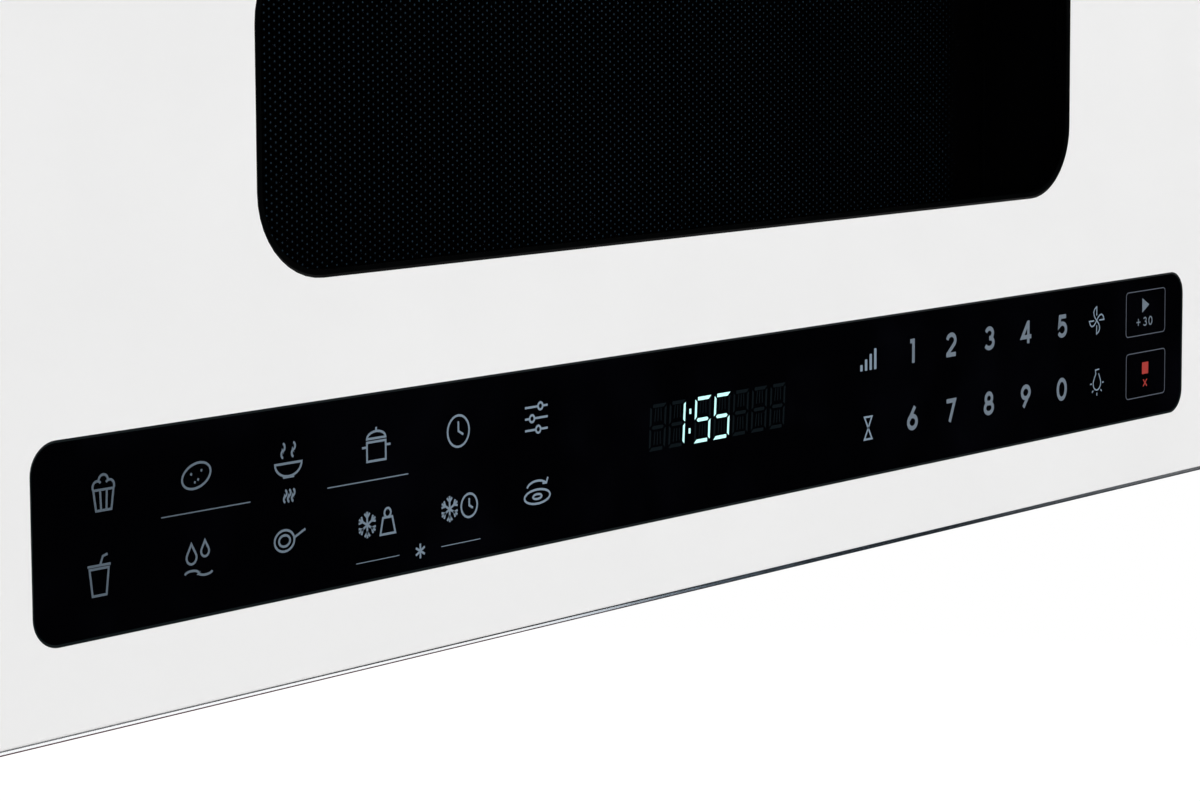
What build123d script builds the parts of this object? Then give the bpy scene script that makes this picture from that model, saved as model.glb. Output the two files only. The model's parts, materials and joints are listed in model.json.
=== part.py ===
"""Over-the-range microwave, modelled piece by piece.

Frame: X to the right as seen from the front, Y to the back, Z up, in millimetres.
The origin is on the base, in the middle of the object's box.
"""
from build123d import *
import os

# ---------------------------------------------------------------- overall sizes
case_w = 759.0          # standard 30 inch casing
case_h = 417.0          # height without the exhaust collar
chassis_depth = 347.5   # front frame to back plate
door_depth = 40.0
door_gap = 2.5          # closed door to front frame
wall_plate_t = 3.0
handle_gap = 31.0       # finger room between door face and bar
handle_d = 18.0
sheet_t = 1.0           # casing and cavity sheet
frame_t = 1.2           # front frame sheet
pan_t = 1.2             # base pan sheet
slack = 0.3             # gap between a loose piece and its seat
bearing_gap = 0.05      # radial running clearance
cut = 1.0               # how far a cutting shape runs past the face it cuts

# depth stations, worked out from front to back
total_depth = handle_d + handle_gap + door_depth + door_gap + chassis_depth + wall_plate_t
y_handle = -total_depth / 2 + handle_d / 2
y_face = -total_depth / 2 + handle_d + handle_gap
y_door_back = y_face + door_depth
y_front = y_door_back + door_gap
y_inside = y_front + frame_t
y_back = y_front + chassis_depth
y_wall = y_back + wall_plate_t
x_case = case_w / 2
x_in = x_case - sheet_t
z_top_in = case_h - sheet_t

# ---------------------------------------------------------------- hinges
bracket_t = 2.0
bracket_w = 18.5
bracket_side_gap = 0.5  # bracket to the casing's side
bracket_nose = 4.0      # plate in front of the pin
bracket_corner_r = 4.0
bracket_tail = 26.0     # lower bracket behind the front frame
bracket_flange = 20.0   # upper bracket's flange behind the front frame
low_washer_t = 2.0
high_washer_t = 0.9
hinge_pin_r = 4.0
hinge_pin_len = 21.0
hinge_inset_x = 11.0
hinge_inset_y = 12.0
bushing_r = 7.0
bushing_len = 24.0
washer_r = 8.0
x_bracket = -x_in + bracket_side_gap
z_bracket_low = pan_t

# ---------------------------------------------------------------- door
door_side_gap = 1.0
grille_h = 28.8
door_top_gap = 4.2      # door to grille
trim_t = 1.8
trim_set_back = 1.0
trim_depth = 2.5
trim_end_gap = 1.0
skin_t = 1.5
door_edge_r = 1.2
glass_recess = 0.35
glass_fit = 0.15
glass_land_t = 2.4
land_margin = 7.0
x_door = x_case - door_side_gap
z_door = z_bracket_low + bracket_t + slack + low_washer_t
z_grille = case_h - grille_h
z_door_top = z_grille - door_top_gap
z_bracket_high = z_door_top + high_washer_t + slack
x_hinge = -x_door + hinge_inset_x
y_hinge = y_face + hinge_inset_y

strip_side = 33.5       # door's side edge to the strip
strip_w = 2 * (x_door - strip_side)
strip_h = 65.5
strip_r = 10.6
strip_margin = 28.7     # door's lower edge to the strip
strip_to_window = 41.3
window_w = 493.0
window_h = 116.0
window_r = 30.3
z_strip = z_door + strip_margin + strip_h / 2
z_window = z_strip + strip_h / 2 + strip_to_window + window_h / 2

handle_len = 620.0
handle_end_r = 2.0
post_spacing = 540.0
post_r = 7.0
post_hole_r = 4.5
handle_screw_r = 2.5
handle_screw_len = 16.5
handle_screw_head_r = 6.5
handle_screw_head_t = 3.0
post_bore_spare = 1.0   # screw hole beyond the screw's end
z_handle = (z_window + window_h / 2 + z_door_top) / 2

# ---------------------------------------------------------------- cooking cavity
cav_side_gap = 58.5     # casing's left side to the cavity
machine_w = 178.5       # compartment to the right of the cavity
cav_floor = 84.0
top_space = 99.0        # cavity roof to the casing's top
cav_depth = 335.0
cav_x0 = -x_in + cav_side_gap
cav_x1 = x_in - machine_w
cav_y0 = y_inside
cav_y1 = cav_y0 + cav_depth
cav_roof = case_h - top_space
cav_xc = (cav_x0 + cav_x1) / 2
cav_yc = (cav_y0 + cav_y1) / 2
port_w = 70.0
port_low = 4.0          # port above the waveguide's bottom
mica_t = 0.6
mica_lap = 7.0
lamp_port_w = 20.0
lamp_port_l = 12.0
cavity_lamp_inset = 60.0

choke_reach = 31.0      # inner frame beyond the cavity mouth
choke_depth = 14.0
aperture_left = 56.0    # cavity's left wall to the aperture
aperture_right = 14.0   # aperture to the cavity's right wall
aperture_h = 160.0
aperture_x0 = cav_x0 + aperture_left
aperture_x1 = cav_x1 - aperture_right
z_aperture0 = z_window - aperture_h / 2
z_aperture1 = z_window + aperture_h / 2
screen_t = 1.0
screen_lap = 6.0
screen_behind = 5.0     # window glass to perforated screen
y_glass_back = y_face + skin_t + glass_land_t
y_screen = y_glass_back + screen_behind
inner_pane_t = 2.0
liner_t = 2.0

# ---------------------------------------------------------------- turntable
tray_r = 159.0
tray_t = 4.0
tray_rim_h = 10.0
tray_lip = 2.0
tray_foot_r = 118.0
roller_r = 7.0
roller_w = 7.0
roller_clear = 0.02     # roller to floor
z_tray = cav_floor + 2 * roller_r + slack
ring_outer_r = 96.0
ring_w = 11.0
ring_t = 5.0
axle_r = 2.0
axle_stop_r = 3.0
axle_stop_t = 1.5
axle_root = 2.0
roller_play = 0.5
hub_r = 20.0
hub_arm_r = 33.0
hub_arm_w = 10.0
hub_h = 12.0
lug_r = 4.0
lug_circle_r = 27.0
lug_gap = 1.0           # lug above the underside of the arms
shaft_r = 3.0
shaft_len = 15.0
shaft_hole_r = 6.0
motor_r = 24.5
motor_h = 19.0
motor_ear = 8.0
motor_ear_w = 12.0
motor_plug_w = 18.0
motor_plug_l = 6.0
motor_floor_t = 3.0

# ---------------------------------------------------------------- underside
filter_side_gap = 27.5  # casing's side to a filter
filter_mid_gap = 118.0  # between the two filters
filter_l = 150.0
filter_t = 9.0
filter_mesh_t = 2.5
filter_rim = 9.0
filter_lip = 8.0        # pan beneath each filter edge
filter_y = 90.0
filter_w = x_in - filter_side_gap - filter_mid_gap / 2
filter_x = (filter_mid_gap + filter_w) / 2
filter_travel = 12.0
tab_w = 24.0
tab_t = 5.0
tab_inset = 3.0
tab_height = 0.6        # tab's lower end above the base
rail_t = 1.2
rail_lip = 6.0
pan_flange_h = 16.0
pan_flange_start = 4.0  # flange behind the lower bracket
lamp_w = 200.0
lamp_l = 40.0
lamp_y = -82.0
lamp_fit = 0.6
lamp_cover_t = 2.4
lamp_cover_z = 0.4
lamp_pin_r = 1.5
lamp_pin_len = 3.0
lamp_pin_inset = 3.0
lamp_box_h = 26.0
led_board_w = 44.0
led_board_l = 28.0
led_board_t = 1.6
led_r = 2.5
led_pitch = 12.0
lamp_cap_w = 32.0
lamp_cap_l = 24.0
lamp_cap_h = 8.0
lamp_cap_t = 3.0

# ---------------------------------------------------------------- exhaust and blower
duct_w = 254.0          # standard 10 by 3 1/4 inch collar
duct_l = 82.6
collar_h = 20.0
collar_t = 1.0
collar_flange = 9.0
y_duct = 141.0
flap_t = 1.0
flap_fit = 1.0
flap_drop = 6.0         # flap below the collar's rim
flap_inset = 3.5        # pins in front of the collar's back wall
flap_pin_r = 1.5
flap_pin_out = 0.5
flap_stop_l = 3.0
flap_stop_t = 1.0
wheel_r = 38.0
wheel_w = 56.0
wheel_disc_t = 2.0
blade_count = 24
blade_t = 1.2
blade_depth = 7.0
blade_lean = 24.0
scroll_r = 46.0
scroll_w = 64.0
scroll_t = 1.5
scroll_inlet_r = 30.0
scroll_gap = 5.0        # motor to scroll
outlet_back = 6.0       # outlet's back wall in front of the shaft
outlet_gap = 1.0        # outlet to the casing's top
y_blower = 150.0
blower_motor_r = 30.0
blower_motor_w = 70.0
blower_motor_edge = 3.0
blower_shaft_r = 4.0
blower_plate_t = 1.5
saddle_w = 10.0
saddle_l = 40.0
saddle_inset = 14.0
scroll_foot_h = 5.5
z_blower = cav_roof + sheet_t + blower_plate_t + scroll_r

# ---------------------------------------------------------------- machine compartment
guide_d = 36.0
guide_t = 1.0
guide_y0 = 8.0
guide_l = 94.0
guide_h = 120.0
guide_roof_gap = 12.0   # waveguide's top below the cavity roof
guide_y1 = guide_y0 + guide_l
guide_z1 = cav_roof - guide_roof_gap
guide_z0 = guide_z1 - guide_h
antenna_r = 11.0
antenna_len = 22.0
antenna_drop = 36.0     # antenna below the waveguide's top
mag_l = 56.0
mag_w = 82.0
mag_h = 72.0
mag_plate_t = 1.6
mag_fin_count = 7
mag_fin_t = 1.0
mag_fin_gap = 4.0
anode_r = 20.0
filter_box_l = 26.0
filter_box_w = 60.0
filter_box_h = 52.0

trafo_x = cav_x1 + 62.0
trafo_y = -40.0
core_w = 96.0
core_l = 64.0
core_h = 80.0
foot_t = 2.0
foot_w = 104.0
foot_l = 88.0
coil_w = 68.0
coil_l = 92.0
coil_h = 22.0
coil_low = 20.0
coil_pitch = 30.0
coil_r = 12.0

cap_x = cav_x1 + 90.0
cap_y = 67.0
cap_w = 92.0
cap_l = 54.0
cap_h = 34.0
cap_r = 15.0
strap_x = 20.0
strap_w = 12.0
strap_over = 10.0
blade_terminal = 8.0
terminal_w = 6.0
terminal_pitch = 20.0

fan_size = 120.0
fan_frame_t = 28.0
fan_bore_r = 54.0
fan_tip_r = 52.0
fan_hub_r = 18.0
fan_shaft_r = 2.5
fan_motor_r = 20.0
fan_motor_t = 12.0
fan_blade_count = 7
fan_blade_pitch = 35.0
fan_blade_chord = 14.0
fan_blade_t = 1.6
fan_set_back = 2.0
fan_play = 0.5
fan_foot_w = 16.0
spoke_w = 6.0
spoke_t = 3.0
fan_rise = 70.0         # fan's axis above the shelf
x_fan = cav_x1 + 90.0
y_fan = 180.0
z_fan = cav_floor + fan_rise

board_t = 1.6
power_board_gap = 12.0  # board to the casing's side
power_board_l = 120.0
power_board_h = 140.0
power_board_drop = 36.0 # board's top edge below the casing's top
standoff_r = 3.0
standoff_inset = 8.0
board_row_low = 20.0    # rows of components above the board's lower edge
board_row_mid = 80.0
board_row_high = 106.0
choke_y = -30.0
choke_l = 32.0
choke_h = 28.0
choke_d = 20.0
relay_y = 7.0
relay_pitch = 20.0
relay_l = 14.0
relay_h = 22.0
relay_d = 15.0
can_pitch = 24.0
can_r = 6.0
can_d = 16.0
plug_l = 80.0
plug_h = 12.0
plug_d = 8.0

# ---------------------------------------------------------------- door latch
latch_travel = 6.0
hook_inset = 33.5       # hooks to the casing's right side
hook_low_rise = 46.0    # lower hook above the cavity floor
hook_high_drop = 28.0   # upper hook below the cavity roof
hook_x = x_in - hook_inset
hook_low_z = cav_floor + hook_low_rise
hook_high_z = cav_roof - hook_high_drop
hook_h = 14.0
hook_t = 4.0
hook_wide = 20.0
hook_reach = 20.0       # hook end behind the door's back
hook_play = 1.0
hook_root = 2.0
barb_h = 3.0
barb_l = 6.0
slider_w = 10.0
slider_t = 6.0
slider_over = 20.0
slider_guide_t = 2.0
slider_guide_h = 16.0
slider_guide_shares = (0.2, 0.5, 0.75)  # along the slider
stop_w = 16.0
stop_t = 3.0
spring_r = 3.0
spring_wire = 1.0
spring_len = 22.0
switch_t = 9.0
switch_h = 28.0
switch_d = 12.0
switch_gap = 1.0
switch_wall = 3.0
plunger_r = 1.5
plunger_out = 5.0
plunger_travel = 2.5
plunger_end_gap = 0.5
interlock_side = 8.0
interlock_over = 26.0
interlock_t = 2.0
switch_back = y_door_back + hook_reach + slack + plunger_out + switch_d
interlock_half = hook_wide / 2 + interlock_side
interlock_z0 = hook_low_z - interlock_over
interlock_z1 = hook_high_z + interlock_over

# ---------------------------------------------------------------- control strip
display_w = 124.0
display_h = 38.0
display_t = 8.0
control_board_left = 35.0   # strip's left end to the board
control_board_right = 25.0
control_board_x0 = -strip_w / 2 + control_board_left
control_board_x1 = strip_w / 2 - control_board_right
control_board_h = 54.0
control_standoffs = 6
control_standoff_z = 23.5
control_end = 10.0
chip_w = 24.0
chip_h = 20.0
chip_t = 2.4
connector_w = 60.0
connector_h = 12.0
connector_t = 7.4
connector_drop = 14.0
chip_shares = (0.12, 0.28, 0.72, 0.88)  # along the board

# ---------------------------------------------------------------- grille and charcoal filter
grille_wall = 2.5
grille_rows = 3
grille_ribs = 9
grille_edge_r = 1.0
louvre_t = 1.6
louvre_d = 20.0
louvre_set = 2.0
rib_t = 2.0
rib_set = 6.0
vent_side = 30.0
vent_low = 5.0
vent_high = 4.0
charcoal_w = 300.0
charcoal_t = 12.0
charcoal_rim = 5.0
charcoal_bed_set = 3.0
charcoal_set = 8.0

# ---------------------------------------------------------------- mounting
wall_hole_r = 3.5
wall_hole_dx = 406.4    # two wall studs at 16 inches
wall_hole_dz = 120.0
wall_plate_w = 660.0
wall_plate_h = 190.0
wall_plate_z = 16.0
wall_plate_corner = 10.0
access_hole_r = 8.75
cabinet_hole_r = 3.4
cabinet_hole_dx = 508.0
cabinet_hole_y = -60.0
cord_bore_r = 6.0
cord_hole_r = 11.0
cord_flange = 4.0
cord_flange_t = 2.5
cord_snap = 2.0
cord_snap_t = 4.0
cord_inset = 49.5       # cord to the casing's right side
cord_y = 170.0
cord_x = x_case - cord_inset
screw_shank_r = 1.9
screw_head_r = 3.8
screw_head_t = 2.0
screw_head_edge = 0.7
screw_len = 6.0
screw_side_inset = 13.0
screw_end_inset = 30.0
screw_high_inset = 20.0


# ================================================================ helpers
def block(x0, x1, y0, y1, z0, z1):
    """Box between two corners."""
    centre = Pos((x0 + x1) / 2, (y0 + y1) / 2, (z0 + z1) / 2)
    return centre * Box(x1 - x0, y1 - y0, z1 - z0)


def plate(xc, yc, w, l, z0, z1):
    """Box of a given width and length, centred on (xc, yc)."""
    return block(xc - w / 2, xc + w / 2, yc - l / 2, yc + l / 2, z0, z1)


def rod_z(x, y, z0, z1, r):
    """Cylinder along Z."""
    return Pos(x, y, (z0 + z1) / 2) * Cylinder(r, z1 - z0)


def rod_y(x, z, y0, y1, r):
    """Cylinder along Y."""
    return Pos(x, (y0 + y1) / 2, z) * Rot(90, 0, 0) * Cylinder(r, y1 - y0)


def rod_x(y, z, x0, x1, r):
    """Cylinder along X."""
    return Pos((x0 + x1) / 2, y, z) * Rot(0, 90, 0) * Cylinder(r, x1 - x0)


def slab(xc, zc, w, h, r, y0, y1):
    """Upright plate with rounded corners, from y0 back to y1."""
    face = Plane.XZ * RectangleRounded(w, h, r)
    return Pos(xc, y1, zc) * extrude(face, amount=y1 - y0)


def turned(shape, angle):
    """Shape turned about the turntable's axis."""
    return Pos(cav_xc, cav_yc, 0) * Rot(0, 0, angle) * Pos(-cav_xc, -cav_yc, 0) * shape


def group(*solids):
    """Several separate solids in one node."""
    return Compound(children=[Solid(s.solid().wrapped) for s in solids])


# ================================================================ casing
def screw_places():
    """Screw centres: four on the casing's top, four on its back above the wall plate."""
    x = x_case - screw_side_inset
    ends = (y_front + screw_end_inset, y_back - screw_end_inset)
    heights = (wall_plate_z + wall_plate_h + screw_end_inset, case_h - screw_high_inset)
    top = [(sx * x, y) for sx in (-1, 1) for y in ends]
    rear = [(sx * x, z) for sx in (-1, 1) for z in heights]
    return top, rear


def outer_wrap():
    """Painted cover: two sides and the top, bent from one sheet."""
    z0, z1 = z_top_in - cut, case_h + cut
    wrap = block(-x_case, x_case, y_front, y_back, 0, case_h)
    wrap -= block(-x_in, x_in, y_front - cut, y_back + cut, -cut, z_top_in)
    wrap -= plate(0, y_duct, duct_w, duct_l, z0, z1)
    for sx in (-1, 1):
        wrap -= rod_z(sx * cabinet_hole_dx / 2, cabinet_hole_y, z0, z1, cabinet_hole_r)
    wrap -= rod_z(cord_x, cord_y, z0, z1, cord_hole_r)
    for x, y in screw_places()[0]:
        wrap -= rod_z(x, y, z0, z1, screw_shank_r + bearing_gap)
    return wrap


def wall_hole_places():
    """Centres of the wall screw holes."""
    middle = wall_plate_z + wall_plate_h / 2
    heights = (middle - wall_hole_dz / 2, middle + wall_hole_dz / 2)
    return [(sx * wall_hole_dx / 2, z) for sx in (-1, 1) for z in heights]


def back_plate():
    """Sheet that closes the back, with room for the heads of the wall screws."""
    y0 = y_back - sheet_t
    back = block(-x_in, x_in, y0, y_back, 0, z_top_in)
    for x, z in wall_hole_places():
        back -= rod_y(x, z, y0 - cut, y_back + cut, access_hole_r)
    for x, z in screw_places()[1]:
        back -= rod_y(x, z, y0 - cut, y_back + cut, screw_shank_r + bearing_gap)
    return back


def mounting_plate():
    """Steel plate that is screwed to the wall, with the casing hung on it."""
    half = wall_plate_w / 2
    wall = block(-half, half, y_back, y_wall, wall_plate_z, wall_plate_z + wall_plate_h)
    wall = chamfer(wall.edges().filter_by(Axis.Y), wall_plate_corner)
    for x, z in wall_hole_places():
        wall -= rod_y(x, z, y_back - cut, y_wall + cut, wall_hole_r)
    return wall


def front_frame():
    """Front sheet, spot-welded from a sill, a head and two posts round the cavity's mouth."""
    y0, y1 = y_front - cut, y_inside + cut
    sill = block(-x_in, x_in, y_front, y_inside, 0, cav_floor)
    head = block(-x_in, x_in, y_front, y_inside, cav_roof, z_top_in)
    head -= block(vent_side - x_in, x_in - vent_side, y0, y1, z_grille + vent_low, z_top_in - vent_high)
    left_post = block(-x_in, cav_x0, y_front, y_inside, cav_floor, cav_roof)
    right_post = block(cav_x1, x_in, y_front, y_inside, cav_floor, cav_roof)
    side = interlock_half - interlock_t
    slot_z0, slot_z1 = interlock_z0 + interlock_t, interlock_z1 - interlock_t
    right_post -= block(hook_x - side, hook_x + side, y0, y1, slot_z0, slot_z1)
    sill -= block(x_bracket, x_bracket + bracket_w, y0, y1, z_bracket_low, z_bracket_low + bracket_t)
    head -= block(x_bracket, x_bracket + bracket_w, y0, y1, z_bracket_high, z_bracket_high + bracket_t)
    return group(sill, head, left_post, right_post)


def filter_rail(xc, side):
    """L rail on the pan along one short edge of a filter."""
    y0 = filter_y - filter_l / 2
    y1 = filter_y + filter_l / 2 + filter_travel
    inner = xc + side * (filter_w / 2 + slack)
    z1 = pan_t + slack + filter_t + slack + rail_t
    post = sorted((inner, inner + side * rail_t))
    lip = sorted((inner - side * rail_lip, inner + side * rail_t))
    wall = block(post[0], post[1], y0, y1, pan_t, z1)
    return wall + block(lip[0], lip[1], y0, y1, z1 - rail_t, z1)


def base_pan():
    """Bottom sheet with two filter openings, the lamp box and the filter rails."""
    y1 = y_back - sheet_t
    pan = block(-x_in, x_in, y_inside, y1, 0, pan_t)
    for sx in (-1, 1):
        x = sorted((sx * x_in, sx * (x_in - pan_t)))
        pan += block(x[0], x[1], y_inside + bracket_tail + pan_flange_start, y1, 0, pan_flange_h)
        xc = sx * filter_x
        pan -= plate(xc, filter_y, filter_w - 2 * filter_lip, filter_l - 2 * filter_lip, -cut, pan_t + cut)
        pan += filter_rail(xc, -1) + filter_rail(xc, 1)
    w, l = lamp_w + 2 * lamp_fit, lamp_l + 2 * lamp_fit
    pan -= plate(0, lamp_y, w, l, -cut, pan_t + cut)
    pan += plate(0, lamp_y, w + 2 * pan_t, l + 2 * pan_t, 0, lamp_box_h)
    pan -= plate(0, lamp_y, w, l, -cut, lamp_box_h - pan_t)
    y_pin, z_pin = lamp_hinge()
    pin_end = w / 2 + pan_t + cut
    return pan - rod_x(y_pin, z_pin, -pin_end, pin_end, lamp_pin_r + bearing_gap)


def bracket_plate(y1, z0):
    """Hinge bracket's flat arm, from in front of the pin back to y1."""
    y0 = y_hinge - hinge_pin_r - bracket_nose
    arm = block(x_bracket, x_bracket + bracket_w, y0, y1, z0, z0 + bracket_t)
    return fillet(arm.edges().filter_by(Axis.Z).group_by(Axis.Y)[0], bracket_corner_r)


def hinge_bracket_lower():
    """Lower bracket, lying on the pan, with its pin standing up into the door."""
    arm = bracket_plate(y_inside + bracket_tail, z_bracket_low)
    z1 = z_bracket_low + bracket_t
    return arm + rod_z(x_hinge, y_hinge, z_bracket_low, z1 + hinge_pin_len, hinge_pin_r)


def hinge_bracket_upper():
    """Upper bracket with its pin pointing down and a flange behind the front frame."""
    y1 = y_inside + bracket_t
    z1 = z_bracket_high + bracket_t
    arm = bracket_plate(y1, z_bracket_high)
    arm += block(x_bracket, x_bracket + bracket_w, y_inside, y1, z_bracket_high - bracket_flange, z1)
    return arm + rod_z(x_hinge, y_hinge, z_bracket_high - hinge_pin_len, z1, hinge_pin_r)


def vent_grille():
    """Slim louvred grille above the door."""
    x1 = x_door - grille_wall
    z0, z1 = z_grille + grille_wall, case_h - grille_wall
    grille = block(-x_door, x_door, y_face, y_front, z_grille, case_h)
    grille -= block(-x1, x1, y_face - cut, y_front + cut, z0, z1)
    for i in range(grille_rows):
        z = z0 + (z1 - z0) * (i + 1) / (grille_rows + 1)
        y0 = y_face + louvre_set
        grille += block(-x1, x1, y0, y0 + louvre_d, z - louvre_t / 2, z + louvre_t / 2)
    for i in range(grille_ribs):
        x = -x_door + 2 * x_door * (i + 1) / (grille_ribs + 1)
        grille += block(x - rib_t / 2, x + rib_t / 2, y_face + rib_set, y_front, z0, z1)
    top_edge = grille.edges().filter_by(Axis.X).group_by(Axis.Y)[0].sort_by(Axis.Z)[-1:]
    return fillet(top_edge, grille_edge_r)


def charcoal_filter():
    """Framed charcoal filter standing on the cavity roof behind the grille."""
    half = charcoal_w / 2
    y0 = y_inside + charcoal_set
    y1 = y0 + charcoal_t
    z0, z1 = cav_roof + sheet_t, z_top_in - slack
    x_bed, z_bed0, z_bed1 = half - charcoal_rim, z0 + charcoal_rim, z1 - charcoal_rim
    frame = block(-half, half, y0, y1, z0, z1)
    frame -= block(-x_bed, x_bed, y0 - cut, y1 + cut, z_bed0, z_bed1)
    return frame + block(-x_bed, x_bed, y0 + charcoal_bed_set, y1 - charcoal_bed_set, z_bed0, z_bed1)


# ================================================================ cavity
def port_centre():
    """Depth and height of the port in the cavity's right wall."""
    return (guide_y0 + guide_y1) / 2, guide_z0 + port_low + port_w / 2


def cavity_lamp_place():
    """Where the cavity lamp sits on the roof."""
    return cav_x1 - cavity_lamp_inset, cav_y0 + cavity_lamp_inset


def cavity_wrap():
    """Cavity sides and roof, bent from one sheet, with the microwave port."""
    wrap = block(cav_x0 - sheet_t, cav_x1 + sheet_t, cav_y0, cav_y1, cav_floor, cav_roof + sheet_t)
    wrap -= block(cav_x0, cav_x1, cav_y0 - cut, cav_y1 + cut, cav_floor - cut, cav_roof)
    yc, zc = port_centre()
    half = port_w / 2
    wrap -= block(cav_x1 - cut, cav_x1 + sheet_t + cut, yc - half, yc + half, zc - half, zc + half)
    x, y = cavity_lamp_place()
    return wrap - plate(x, y, lamp_port_w, lamp_port_l, cav_roof - cut, cav_roof + sheet_t + cut)


def cavity_floor():
    """Cavity floor, carried on to the right as the shelf of the machine compartment."""
    z0 = cav_floor - sheet_t
    floor = block(cav_x0 - sheet_t, x_in, y_inside, y_back - sheet_t, z0, cav_floor)
    return floor - rod_z(cav_xc, cav_yc, z0 - cut, cav_floor + cut, shaft_hole_r)


def cavity_back():
    """Cavity's back sheet."""
    return block(cav_x0 - sheet_t, cav_x1 + sheet_t, cav_y1, cav_y1 + sheet_t, cav_floor, cav_roof + sheet_t)


def waveguide_cover():
    """Mica sheet over the port, inside the cavity."""
    yc, zc = port_centre()
    half = port_w / 2 + mica_lap
    return block(cav_x1 - mica_t, cav_x1, yc - half, yc + half, zc - half, zc + half)


def led_lamps():
    """Three lamp boards: two above the cooktop cover and one on the cavity roof."""
    lamps = []
    z1 = lamp_box_h - pan_t
    z0 = z1 - led_board_t
    for sx in (-1, 1):
        xc = sx * lamp_w / 4
        board = plate(xc, lamp_y, led_board_w, led_board_l, z0, z1)
        for dx in (-led_pitch, 0, led_pitch):
            board += rod_z(xc + dx, lamp_y, z0 - led_board_t, z0, led_r)
        lamps.append(board)
    x, y = cavity_lamp_place()
    base = cav_roof + sheet_t
    inner_top = base + lamp_cap_h - lamp_cap_t
    cap = plate(x, y, lamp_cap_w, lamp_cap_l, base, base + lamp_cap_h)
    cap -= plate(x, y, lamp_port_w, lamp_port_l, base - cut, inner_top)
    cap += rod_z(x, y, inner_top - led_r, inner_top, led_r)
    lamps.append(cap)
    return group(*lamps)


# ================================================================ machine compartment
def antenna_place():
    """Depth and height of the magnetron's antenna."""
    return (guide_y0 + guide_y1) / 2, guide_z1 - antenna_drop


def waveguide():
    """Sheet steel duct from the magnetron to the port."""
    x0 = cav_x1 + sheet_t
    x1 = x0 + guide_d
    duct = block(x0, x1, guide_y0, guide_y1, guide_z0, guide_z1)
    duct -= block(x0 - cut, x1 - guide_t, guide_y0 + guide_t, guide_y1 - guide_t,
                  guide_z0 + guide_t, guide_z1 - guide_t)
    y, z = antenna_place()
    return duct - rod_x(y, z, x1 - guide_t - cut, x1 + cut, antenna_r + slack)


def magnetron():
    """Magnetron: yoke, cooling fins, anode, antenna and filter box."""
    y, z = antenna_place()
    x0 = cav_x1 + sheet_t + guide_d
    x1 = x0 + mag_l
    y0, y1 = y - mag_w / 2, y + mag_w / 2
    z0, z1 = z - mag_h / 2, z + mag_h / 2
    yoke = block(x0, x1, y0, y1, z0, z1)
    yoke -= block(x0 + mag_plate_t, x1 - mag_plate_t, y0 + mag_plate_t, y1 - mag_plate_t, z0 - cut, z1 + cut)
    for i in range(mag_fin_count):
        xf = x0 + mag_l * (i + 1) / (mag_fin_count + 1)
        yoke += block(xf - mag_fin_t / 2, xf + mag_fin_t / 2, y0, y1, z0 + mag_fin_gap, z1 - mag_fin_gap)
    yoke += rod_x(y, z, x0, x1, anode_r)
    yoke += rod_x(y, z, x0 - antenna_len, x0, antenna_r)
    yoke += block(x1, x1 + filter_box_l, y - filter_box_w / 2, y + filter_box_w / 2,
                  z - filter_box_h / 2, z + filter_box_h / 2)
    return yoke


def hv_transformer():
    """High-voltage transformer: laminated core with two windings on a foot plate."""
    z0 = cav_floor + foot_t
    trafo = plate(trafo_x, trafo_y, foot_w, foot_l, cav_floor, z0)
    trafo += plate(trafo_x, trafo_y, core_w, core_l, z0, z0 + core_h)
    for i in range(2):
        low = z0 + coil_low + coil_pitch * i
        coil = plate(trafo_x, trafo_y, coil_w, coil_l, low, low + coil_h)
        trafo += fillet(coil.edges().filter_by(Axis.Z), coil_r)
    return trafo


def hv_capacitor():
    """Oval high-voltage capacitor lying on its strap."""
    z0 = cav_floor + foot_t
    can = plate(cap_x, cap_y, cap_w, cap_l, z0, z0 + cap_h)
    can = fillet(can.edges().filter_by(Axis.X), cap_r)
    can += plate(cap_x + strap_x, cap_y, strap_w, cap_l + 2 * strap_over, cav_floor, z0)
    x_end = cap_x + cap_w / 2
    for sy in (-1, 1):
        y = cap_y + sy * terminal_pitch / 2
        z = z0 + cap_h / 2
        can += block(x_end, x_end + blade_terminal, y - terminal_w / 2, y + terminal_w / 2, z, z + sheet_t)
    return can


def cooling_fan_frame():
    """Square fan frame on the shelf, with the motor held by four spokes."""
    half = fan_size / 2
    y1 = y_fan + fan_frame_t
    frame = block(x_fan - half, x_fan + half, y_fan, y1, z_fan - half, z_fan + half)
    frame -= rod_y(x_fan, z_fan, y_fan - cut, y1 + cut, fan_bore_r)
    for sx in (-1, 1):
        x = x_fan + sx * (half - fan_foot_w / 2)
        frame += block(x - fan_foot_w / 2, x + fan_foot_w / 2, y_fan, y1, cav_floor, z_fan - half)
    reach = fan_bore_r + cut
    side = spoke_w / 2
    frame += block(x_fan - reach, x_fan + reach, y1 - spoke_t, y1, z_fan - side, z_fan + side)
    frame += block(x_fan - side, x_fan + side, y1 - spoke_t, y1, z_fan - reach, z_fan + reach)
    frame += rod_y(x_fan, z_fan, y1 - fan_motor_t, y1, fan_motor_r)
    return frame - rod_y(x_fan, z_fan, y1 - fan_motor_t - cut, y1 + cut, fan_shaft_r + bearing_gap)


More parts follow.
